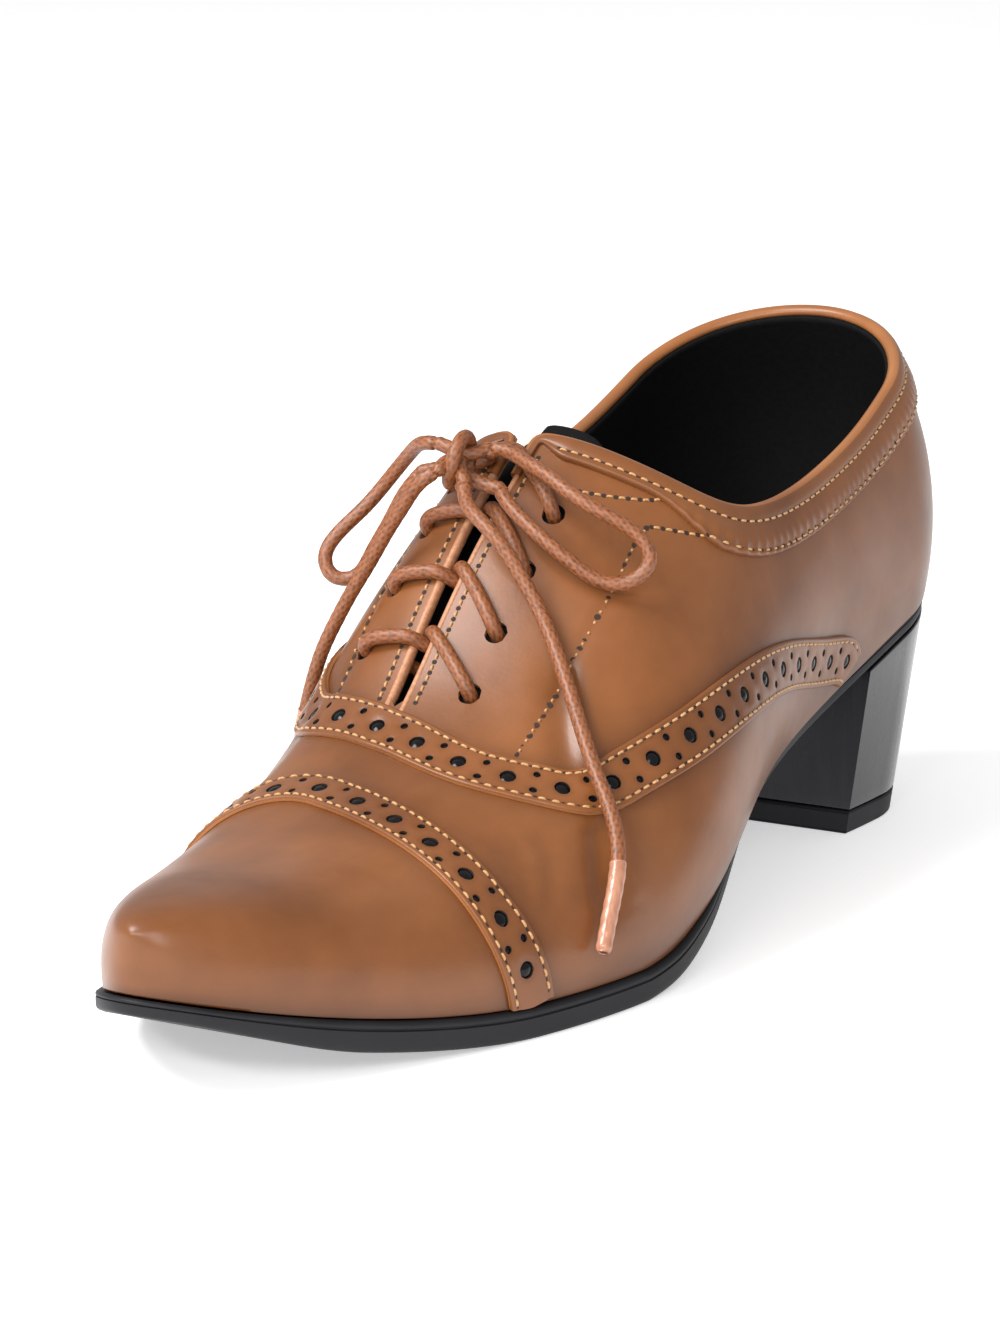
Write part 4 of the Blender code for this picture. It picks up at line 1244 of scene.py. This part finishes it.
def rim_track(side):
    """The top line of one side, from the counter round the tab's corner and a little down the throat."""
    stations, girths = rim_line(side)
    down = np.linspace(TAB_STATION, TAB_STATION + CORNER_RUN / SHOE_LENGTH, 20)
    stations = np.concatenate([stations, down[1:]])
    girths = np.concatenate([girths, [slit_girth(station, side) for station in down[1:]]])
    line = last_point(stations, side * girths)
    lengths = lengths_along(line)
    places = np.linspace(0, lengths[-1], int(lengths[-1] / RIM_SPACING))
    stations, girths = np.interp(places, lengths, stations), np.interp(places, lengths, girths)
    half = int(CORNER_ROUND / RIM_SPACING / 2)
    kernel = np.ones(2 * half + 1) / (2 * half + 1)
    inside = slice(half, -half)
    stations[inside] = np.convolve(stations, kernel, "valid")
    girths[inside] = np.convolve(girths, kernel, "valid")
    return Track(stations, side * girths, *sorted((side * BAND_ROOM[0], side * BAND_ROOM[1])), 14)


def band_top_row(number, at_end):
    """Across and out of a row over the rim, drawn in at the band's end."""
    across, out = BAND_TOP[number]
    return across + (min(across, 0.60) - across) * at_end, out + (min(out, 0.75) - out) * at_end


def band_foot_row(number, at_tab, at_end):
    """Across and out of a row of the lower edge, narrower at the tab and drawn in at the band's end."""
    wide, narrow = BAND_FOOT[number], BAND_FOOT_TAB[number]
    across = wide[0] + (narrow[0] - wide[0]) * at_tab
    out = wide[1] + (narrow[1] - wide[1]) * at_tab
    folded_in = 0.65 + 0.02 * (len(BAND_TOP) + number)
    return across + (folded_in - across) * at_end, out + (max(out.min(), 0.10) * 0.55 - out) * at_end


def band_side(side):
    """Rows of points of the band along one side of the shoe."""
    track = rim_track(side)
    along = np.linspace(0, track.length, BAND_STEPS)
    at_tab = blend(0.0, 1.0, *BAND_TAPER, track.at(along, 0.0)[0])
    at_end = blend(0.0, 1.0, track.length - 2.2 * CORNER_RUN, track.length - 1.1 * CORNER_RUN, along)
    wave = np.sin(2 * math.pi * along / PUCKER_PITCH + 1.7 * np.sin(along * 190)) * (1 - at_tab)
    rows = []
    for number in range(len(BAND_TOP)):
        across, out = band_top_row(number, at_end)
        rows.append(track.point(along, side * across * MM, out * MM))
    for number in range(len(BAND_FOOT)):
        across, out = band_foot_row(number, at_tab, at_end)
        pucker = PUCKER_DEPTH * math.sin(math.pi * number / len(BAND_FOOT)) ** 2 * wave
        rows.append(track.point(along, side * across * MM, out * MM + pucker))
    return np.stack(rows, 1)


def make_collar_band():
    """Topline band folded over the rim, puckered along its lower row of stitches."""
    columns = len(BAND_TOP) + len(BAND_FOOT)
    grid = np.concatenate([band_side(-1)[::-1], band_side(1)[1:]])
    faces = grid_quads(len(grid), columns)
    edge = [int(face[0] % columns in range(1, 6)) for face in faces]
    piece = add_piece("collar_topline", grid, faces, [TAN, EDGE_LEATHER], ["collar_band"],
                      edge)
    # Painted shade along the two rows of stitches and the lower edge
    groove = np.isin(np.arange(columns), (10, 15, 16, columns - 2, columns - 1))
    paint(piece, "burnish_and_shade", np.tile(groove * 0.22, len(grid)))
    tidy_mesh(piece)


def facing_track(side):
    """The throat's edge, from the tab to the front; across is away from the gap."""
    stations = np.linspace(TAB_STATION + 0.010, THROAT_FRONT + 0.004, 160)
    edges = [slit_girth(min(station, THROAT_FRONT), side) for station in stations]
    return Track(stations, side * np.array(edges), *sorted((side * -0.001, side * 0.006)))


def make_facing_edges():
    """Pale trimmed edges of the two facings."""
    for side, name in ((-1, "facing_edge_inner"), (1, "facing_edge_outer")):
        track = facing_track(side)
        along = np.linspace(0, track.length, 110)
        rows = [track.point(along, side * across * MM, out * MM) for across, out in FACING_SECTION]
        faces = tube_faces(len(along), len(FACING_SECTION))
        piece = add_piece(name, np.stack(rows, 1), faces, [CUT_EDGE], ())
        tidy_mesh(piece)


def make_tongue():
    """Tongue in black, painted shade of the throat's gap, with a pale corner that shows behind the knot."""
    rows, columns = 90, 40
    pale_rows, pale_columns = 4, 17
    stations = np.linspace(TONGUE_TIP, TONGUE_BASE, rows)
    tips = np.clip((stations - TONGUE_TIP) / TONGUE_TIP_ROUND, 0, 1)
    reaches = TONGUE_HALF * (TONGUE_TIP_SHARE + (1 - TONGUE_TIP_SHARE) * np.sqrt(tips * (2 - tips)))
    edge = TONGUE_EASE * (1 - np.sqrt(1 - np.linspace(-1, 1, columns) ** 8))
    top, bottom = [], []
    for station, reach in zip(stations, reaches):
        girths = np.linspace(-girth_across(station, -1, reach), girth_across(station, 1, reach), columns)
        line = np.full(columns, station)
        top.append(surface(line, girths, TONGUE_TOP - edge))
        bottom.append(surface(line, girths, TONGUE_TOP - TONGUE_WALL))
    skin, under, walls = shell_faces(grid_quads(rows, columns), rows * columns)
    every = skin + under + walls
    first = [min(vert % (rows * columns) for vert in face) for face in every]
    finish = [int(vert // columns < pale_rows and vert % columns < pale_columns) for vert in first]
    # The tongue's black is painted shade of the throat's gap
    piece = add_piece("tongue_leather", np.concatenate(top + bottom), every, [LINING, TONGUE_EDGE],
                      ["tongue"], finish)
    tidy_mesh(piece)
    crease_edges(piece, 60)


# Brogue strips

def strip_track(path, width):
    """A strip's centre line, with room for its whole width."""
    stations, girths = follow(path, 420)
    return Track(stations, girths, -width / 2 - STRIP_ROOM, width / 2 + STRIP_ROOM)


def hole_places(length, pitch):
    """Places along a strip of the big holes, and of the small pairs midway between them."""
    count = int((length - pitch * 0.7) / pitch)
    start = (length - count * pitch) / 2
    big = [start + pitch * i for i in range(count + 1)]
    small = [place + pitch / 2 for place in big[:-1]]
    return big, [(place, side * SMALL_HOLE_ACROSS) for place in small for side in (-1, 1)]


def circle(centre, radius, count):
    """Points round a flat circle."""
    turn = np.linspace(0, 2 * math.pi, count, endpoint=False)
    return np.stack([centre[0] + radius * np.cos(turn), centre[1] + radius * np.sin(turn)], -1)


def flat_strip(length, width, holes):
    """Triangles of a flat strip with round holes: points and faces."""
    eased = STRIP_EDGE * np.array((0.0, 0.13, 0.5, 1.0))
    middle = np.linspace(-width / 2 + STRIP_EDGE * 2.6, width / 2 - STRIP_EDGE * 2.6, 9)
    lines = np.concatenate([width / 2 - eased, -width / 2 + eased, middle])
    along = np.linspace(0, length, int(length / STRIP_STEP))
    grid = np.array([(a, b) for b in np.sort(lines) for a in along])
    keep = np.ones(len(grid), bool)
    for centre, radius, _ in holes:
        keep &= np.linalg.norm(grid - centre, axis=1) > radius + STRIP_STEP * 0.45
    points = grid[keep].tolist()
    edges = []
    for centre, radius, count in holes:
        start = len(points)
        points += circle(centre, radius, count).tolist()
        edges += [(start + i, start + (i + 1) % count) for i in range(count)]
    made, _, faces, *_ = delaunay_2d_cdt([Vector(p) for p in points], edges, [], 0, 1e-7)
    flat = np.array([tuple(p) for p in made])
    middles = np.array([flat[list(face)].mean(0) for face in faces])
    solid = np.ones(len(faces), bool)
    for centre, radius, _ in holes:
        solid &= np.linalg.norm(middles - centre, axis=1) > radius * 0.97
    return flat, [list(face) for face, kept in zip(faces, solid) if kept]


def rounded_top(across, width):
    """Height of a strip's face over its width, with its cut edges rounded off."""
    inward = np.clip((np.abs(across) - width / 2 + STRIP_EDGE) / STRIP_EDGE, 0, 1)
    return STRIP_TOP - STRIP_EDGE * (1 - np.sqrt(1 - np.minimum(inward, 0.999) ** 2))


def make_strip(name, node, path, width):
    """Perforated strip of leather, cut through and laid on the upper."""
    track = strip_track(path, width)
    big, small = hole_places(track.length, HOLE_PITCH)
    holes = [(np.array((place, 0.0)), BIG_HOLE, 22) for place in big]
    holes += [(np.array(place), SMALL_HOLE, 12) for place in small]
    flat, faces = flat_strip(track.length, width, holes)
    along, across = flat.T
    lip = np.min([np.linalg.norm(flat - centre, axis=1) - radius for centre, radius, _ in holes], axis=0)
    lip = np.clip(lip, 0, None)
    row = np.exp(-((np.abs(across) - width / 2 + EDGE_STITCH) / 0.0004) ** 2)
    pressed = HOLE_PRESS * np.exp(-lip / 0.0004) + ROW_PRESS * row
    top = track.point(along, across, rounded_top(across, width) - pressed)
    base = track.point(along, across, STRIP_BASE)
    skin, under, walls = shell_faces(faces, len(flat))
    # The punched holes' walls take the dark of painted shade inside the holes; the outer walls are edge
    # leather
    finish = [0] * (len(skin) + len(under)) + [2 if lip[wall[0]] < 1e-5 else 1 for wall in walls]
    piece = add_piece(name, np.concatenate([top, base]), skin + under + walls, [STRIP, EDGE_LEATHER, NEEDLE_SHADE],
                      [node], finish)
    # Painted shade in the pressed hollows round the holes and along the rows of stitches
    shade = 0.28 * np.exp(-lip / 0.0005) + 0.22 * row
    paint(piece, "burnish_and_shade", np.concatenate([shade, shade]))
    tidy_mesh(piece)
    crease_edges(piece, 48)
    return track, big, small


def make_hole_shade(name, track, big, small):
    """Shiny black pieces behind the punched holes, painted shade of the holes: a shallow dome in each."""
    rings, sides = 5, 14
    single = [face[::-1] for face in grid_quads(rings, sides, closed=True)]
    last = (rings - 1) * sides
    single += [[last + i, last + (i + 1) % sides, rings * sides] for i in range(sides)]
    spots = [(place, 0.0, BIG_HOLE, BIG_DOME) for place in big]
    spots += [(place, across, SMALL_HOLE, SMALL_DOME) for place, across in small]
    points, faces = [], []
    for place, across, radius, rise in spots:
        faces += [[vert + len(points) for vert in face] for face in single]
        for share in 1 - np.arange(rings) / rings:
            for spot in circle((place, across), radius * 0.985 * share, sides):
                points.append((*spot, HOLE_SHADE_OUT + rise * (1 - share * share)))
        points.append((place, across, HOLE_SHADE_OUT + rise))
    piece = add_piece(name, track.point(*np.array(points).T), faces, [HOLE_SHADE_BACKING], ())
    tidy_mesh(piece)


# Thread

def stitch_shape():
    """A stitch as rings of (along, radius, rise) shares: it dives into the leather at both ends."""
    along = np.linspace(-1, 1, 7)
    radius = np.sqrt(np.clip(1 - 0.80 * np.abs(along) ** 5, 0.05, 1))
    rise = 0.55 - 1.05 * np.abs(along) ** 3.2
    return along, radius, rise


def repeated(faces, step, times):
    """Faces of one shape, counted on for each of its copies."""
    return [[vert + number * step for vert in face] for number in range(times) for face in faces]


def stitches(points, normals, heads, length):
    """Capsules along given places: points and faces of all of them."""
    along, radius, rise = stitch_shape()
    turn = np.linspace(0, 2 * math.pi, THREAD_SIDES, endpoint=False)
    cross = unit(np.cross(normals, heads))
    up = np.cross(heads, cross)
    centre = points[:, None] + heads[:, None] * (along * length / 2)[None, :, None]
    centre = centre + up[:, None] * (rise * THREAD_WIDTH / 2)[None, :, None]
    ring = cross[:, None] * np.cos(turn)[None, :, None] + up[:, None] * np.sin(turn)[None, :, None]
    rings = centre[:, :, None] + ring[:, None] * (radius * THREAD_WIDTH / 2)[None, :, None, None]
    single = tube_faces(len(along), THREAD_SIDES)
    return rings.reshape(-1, 3), repeated(single, len(along) * THREAD_SIDES, len(points))


def needle_hole_shades(points, normals, heads, radius):
    """Small dark discs between stitches just above the leather, painted shade of the needle holes."""
    turn = np.linspace(0, 2 * math.pi, THREAD_SIDES, endpoint=False)
    cross = unit(np.cross(normals, heads))
    ring = cross[:, None] * np.cos(turn)[None, :, None] + heads[:, None] * np.sin(turn)[None, :, None]
    rims = points[:, None] + ring * radius + normals[:, None] * PIT_RIM_OUT
    middles = points + normals * PIT_MIDDLE_OUT
    verts = np.concatenate([rims, middles[:, None]], 1).reshape(-1, 3)
    single = [[i, (i + 1) % THREAD_SIDES, THREAD_SIDES] for i in range(THREAD_SIDES)]
    return verts, repeated(single, THREAD_SIDES + 1, len(points))


class Sewing:
    """Collects rows of stitches and their needle holes, to be joined into one piece each."""

    def __init__(self, name):
        self.name = name
        self.thread = []
        self.pits = []

    def row(self, track, across, start, end, out, pitch=STITCH_PITCH, length=STITCH_LENGTH, hole=NEEDLE_HOLE):
        """One row of stitches along a track, and the needle holes between them."""
        count = max(2, int((end - start) / pitch))
        places = start + (np.arange(count) + 0.5) * (end - start) / count
        between = start + np.arange(count + 1) * (end - start) / count
        between = np.clip(between, start + HEADING_STEP, end - HEADING_STEP)
        self.thread.append(stitches(*self.laid(track, places, across, out), length))
        self.pits.append(needle_hole_shades(*self.laid(track, between, across, out), hole))

    @staticmethod
    def laid(track, places, across, out):
        """Points, normals and headings at places along a track."""
        ahead = track.point(places + HEADING_STEP, across, out)
        behind = track.point(places - HEADING_STEP, across, out)
        return track.point(places, across, out), last_normal(*track.at(places, across)), unit(ahead - behind)

    @staticmethod
    def joined(parts):
        """Points and faces of several parts as one."""
        points, faces, start = [], [], 0
        for part_points, part_faces in parts:
            points.append(part_points)
            faces += [[vert + start for vert in face] for face in part_faces]
            start += len(part_points)
        return np.concatenate(points), faces

    def finish(self):
        """Make the two pieces: all stitches, and all needle holes."""
        for parts, suffix, finish in ((self.thread, "thread", THREAD), (self.pits, "needle_hole_shades", NEEDLE_SHADE)):
            points, faces = self.joined(parts)
            piece = add_piece(f"{self.name}_{suffix}", points, faces, [finish], ())
            tidy_mesh(piece, 1e-8)


def sew_strip(name, track, width):
    """A row of stitches along each edge of a strip."""
    sewing = Sewing(name)
    for side in (-1, 1):
        across = side * (width / 2 - EDGE_STITCH)
        sewing.row(track, across, STRIP_ROW_INSET, track.length - STRIP_ROW_INSET, STRIP_TOP - ROW_PRESS)
    sewing.finish()


def sew_collar():
    """The upper row all round, and the lower row from the eyestay back round the counter."""
    sewing = Sewing("collar")
    for side in (-1, 1):
        track = rim_track(side)
        upper_end = track.length - 1.9 * CORNER_RUN
        sewing.row(track, side * UPPER_ROW[0], ROW_INSET, upper_end, UPPER_ROW[1], hole=FINE_HOLE)
        before_corner = track.lengths[track.lengths < track.length - 2 * CORNER_RUN]
        stations = track.at(before_corner, 0.0)[0]
        lower_end = float(np.interp(BAND_TAPER[0] + 0.012, stations, before_corner))
        sewing.row(track, side * LOWER_ROW[0], ROW_INSET, lower_end, LOWER_ROW[1])
    sewing.finish()


def sew_facings():
    """Rows beside the throat, round the eyestay and across the tab."""
    sewing = Sewing("facing")
    for side in (-1, 1):
        track = facing_track(side)
        sewing.row(track, side * FACING_ROW, 0.0010, track.length - 0.0025, 0.00002, length=0.0012,
                   hole=FINE_HOLE)
        for path, pitch, length, hole in FACING_SEAMS:
            stations, girths = follow(path if side > 0 else mirrored(path), 120)
            seam = Track(stations, girths, -0.001, 0.001)
            sewing.row(seam, 0.0, ROW_INSET, seam.length - ROW_INSET, 0.0, pitch, length, hole)
    sewing.finish()


# Bottom

def plan_edge(stations, out_of_feather):
    """Points of the feather line, moved outward in plan by a distance at each station."""
    edges = {}
    for side in (-1, 1):
        points = last_point(stations, np.full(len(stations), float(side)))
        points[:, 2] = 0.0
        along = np.gradient(points, stations, axis=0)
        outward = np.stack([-side * along[:, 1], side * along[:, 0], np.zeros(len(stations))], 1)
        outward[0] = (0.0, 1.0, 0.0)
        outward[-1] = (0.0, -1.0, 0.0) if stations[-1] >= 1 else outward[-2]
        edges[side] = points + unit(outward) * np.asarray(out_of_feather)[:, None]
    return edges[-1], edges[1]


def sole_thickness(station):
    """Thickness of the sole, from the seat over the waist to the tip."""
    to_waist = blend(SOLE_SEAT, SOLE_WAIST, *SEAT_TO_WAIST, station)
    to_forefoot = blend(to_waist, SOLE_FORE, *WAIST_TO_FORE, station)
    return to_forefoot + blend(0.0, SOLE_TIP - SOLE_FORE, TIP_START, 1.0, station)


def sole_out(station):
    """How far the sole stands out of the feather line; minus is tucked under."""
    heel = blend(-SEAT_TUCK, -WAIST_TUCK, *SEAT_TO_WAIST, station)
    return blend(heel, SOLE_OVERHANG, *WAIST_TO_FORE, station)


def sole_stations(steps):
    """Stations closer together at both ends, with one at each end of the tread."""
    places = 0.5 - 0.5 * np.cos(np.linspace(0, math.pi, steps + 1))
    for mark in (TREAD_BACK, TREAD_FRONT):
        places[int(np.argmin(np.abs(places - mark)))] = mark
    return places


def make_outsole():
    """Sole with rounded edges and the line of its welt, flat where it treads."""
    stations = sole_stations(220)
    out = sole_out(stations)
    top = feather(stations) - GAP
    bottom = np.maximum(feather(stations) - sole_thickness(stations), 0.0)
    inner, outer = [], []
    for down, inset in SOLE_PROFILE:
        left, right = plan_edge(stations, out - inset * MM)
        left[:, 2] = right[:, 2] = top + (bottom - top) * down
        inner.append(left)
        outer.append(right)
    shares = np.linspace(0, 1, 10)[1:-1]
    floor = [inner[-1] + (outer[-1] - inner[-1]) * share for share in shares]
    roof = [outer[0] + (inner[0] - outer[0]) * share for share in shares]
    loops = np.stack(inner + floor + outer[::-1] + roof, 1)
    piece = add_piece("outsole_edge", loops, grid_quads(len(stations), loops.shape[1], closed=True), [RUBBER],
                      ["outsole"])
    tidy_mesh(piece)
    crease_edges(piece, 55)


def make_insole():
    """Black sock over the insole, softly crowned, with a rounded edge."""
    stations = sole_stations(120)
    inner, outer = plan_edge(stations, np.full(len(stations), LINING_INSIDE - 4 * GAP))
    base = feather(stations)
    shares = 0.5 - 0.5 * np.cos(np.linspace(0, math.pi, 21))
    columns = []
    for share in shares:
        row = inner + (outer - inner) * share
        row[:, 2] = base + INSOLE_WALL * (0.62 + 0.38 * (1 - abs(2 * share - 1) ** 6))
        columns.append(row)
    for share in (1.0, 0.75, 0.5, 0.25, 0.0):
        row = inner + (outer - inner) * share
        row[:, 2] = base
        columns.append(row)
    loops = np.stack(columns, 1)
    piece = add_piece("insole_sock", loops, grid_quads(len(stations), loops.shape[1], closed=True), [LINING],
                      ["insole"])
    tidy_mesh(piece)
    crease_edges(piece, 50)


def closed_line(inner, outer, breast):
    """From one breast corner round the back to the other, and across the breast."""
    line = np.concatenate([inner[::-1], outer[1:]])
    return np.concatenate([line, [line[-1] + (line[0] - line[-1]) * share for share in breast]])


def heel_outline():
    """The heel's plan under the seat and on the floor, as closed lines, and the seat's heights."""
    end = HEEL_DEPTH / SHOE_LENGTH
    stations = end * (1 - np.cos(np.linspace(0, math.pi / 2, 60)))
    inner, outer = plan_edge(stations, sole_out(stations))
    seat_z = feather(stations) - sole_thickness(stations) - GAP
    share = (BACK_Y - inner[:, 1]) / HEEL_DEPTH
    floor_inner, floor_outer = inner.copy(), outer.copy()
    for edge, side in ((floor_inner, -1), (floor_outer, 1)):
        edge[:, 0] -= side * HEEL_TAPER * np.clip(np.abs(edge[:, 0]) / HEEL_SIDE, 0, 1)
        edge[:, 1] -= HEEL_BACK_INSET * (1 - share)
    breast = np.linspace(0, 1, 14)[1:-1]
    heights = np.concatenate([seat_z[::-1], seat_z[1:], np.full(len(breast), seat_z[-1])])
    return closed_line(inner, outer, breast), closed_line(floor_inner, floor_outer, breast), heights


def heel_slab(name, node, low, high, edge, finish):
    """A slice of the heel from a height up to another, or to the seat, with small eased edges."""
    seat, floor, heights = heel_outline()
    middle = seat.mean(0) * (1, 1, 0)
    top = heights if high is None else high
    steps = [(edge * (1 - math.sin(t)), edge * (1 - math.cos(t))) for t in np.linspace(0, math.pi / 2, 5)]
    levels = [(inset, rise, 0.0) for inset, rise in steps]
    levels += [(0.0, 0.0, share) for share in np.linspace(0.08, 0.92, 14)]
    levels += [(inset, -rise, 1.0) for inset, rise in steps[::-1]]
    points = []
    for inset, rise, share in levels:
        z = np.full(len(heights), low) + (top - low) * share + rise
        ring = floor + (seat - floor) * (z / heights)[:, None]
        ring -= unit(ring * (1, 1, 0) - middle) * inset
        ring[:, 2] = z
        points += ring.tolist()
    count = len(heights)
    faces = grid_quads(len(levels), count, closed=True)
    for start, flip in ((0, False), ((len(levels) - 1) * count, True)):
        hub = len(points)
        points.append(np.array(points[start:start + count]).mean(0).tolist())
        for i in range(count):
            face = [start + i, start + (i + 1) % count, hub]
            faces.append(face[::-1] if flip else face)
    piece = add_piece(name, points, faces, [finish], [node])
    tidy_mesh(piece)
    crease_edges(piece, 38)


def make_heel():
    """The covered block and its top piece."""
    heel_slab("heel_cover", "heel_block", LIFT_HEIGHT + GAP, None, COVER_EASE, LACQUER)
    heel_slab("heel_top_lift", "heel_lift", 0.0, LIFT_HEIGHT, LIFT_EASE, RUBBER)


# Stage

def area_light(name, place, target, size, power):
    """A rectangular light that faces its target."""
    data = bpy.data.lights.new(name, "AREA")
    data.shape = "RECTANGLE"
    data.size, data.size_y = size
    data.energy = power
    light = bpy.data.objects.new(name, data)
    bpy.context.collection.objects.link(light)
    light.location = place
    light.rotation_euler = (Vector(target) - Vector(place)).to_track_quat("-Z", "Y").to_euler()


def make_stage():
    """Plain pale floor and plain soft studio light."""
    builder = bmesh.new()
    bmesh.ops.create_grid(builder, x_segments=2, y_segments=2, size=FLOOR_HALF)
    mesh = bpy.data.meshes.new("floor")
    builder.to_mesh(mesh)
    builder.free()
    mesh.materials.append(floor_material())
    floor = bpy.data.objects.new("floor", mesh)
    bpy.context.collection.objects.link(floor)
    world = bpy.data.worlds.new("studio")
    bpy.context.scene.world = world
    world.use_nodes = True
    background = world.node_tree.nodes["Background"]
    background.inputs["Color"].default_value = (1.0, 1.0, 1.0, 1.0)
    background.inputs["Strength"].default_value = WORLD_STRENGTH
    for light in LIGHTS:
        area_light(*light)
    bpy.context.scene.view_settings.view_transform = "Standard"


def main():
    make_camera()
    make_bow()
    make_knot()
    make_lace_bars()
    make_upper()
    make_lining()
    make_collar_band()
    make_facing_edges()
    make_tongue()
    cap = make_strip("toe_cap_brogue", "toe_cap_strip", CAP_PATH, CAP_STRIP_WIDTH)
    wing = make_strip("wing_brogue", "wing_strip", WING_PATH, WING_STRIP_WIDTH)
    make_hole_shade("toe_cap_hole_shade", *cap)
    make_hole_shade("wing_hole_shade", *wing)
    sew_strip("toe_cap", cap[0], CAP_STRIP_WIDTH)
    sew_strip("wing", wing[0], WING_STRIP_WIDTH)
    sew_collar()
    sew_facings()
    make_outsole()
    make_insole()
    make_heel()
    make_stage()


main()
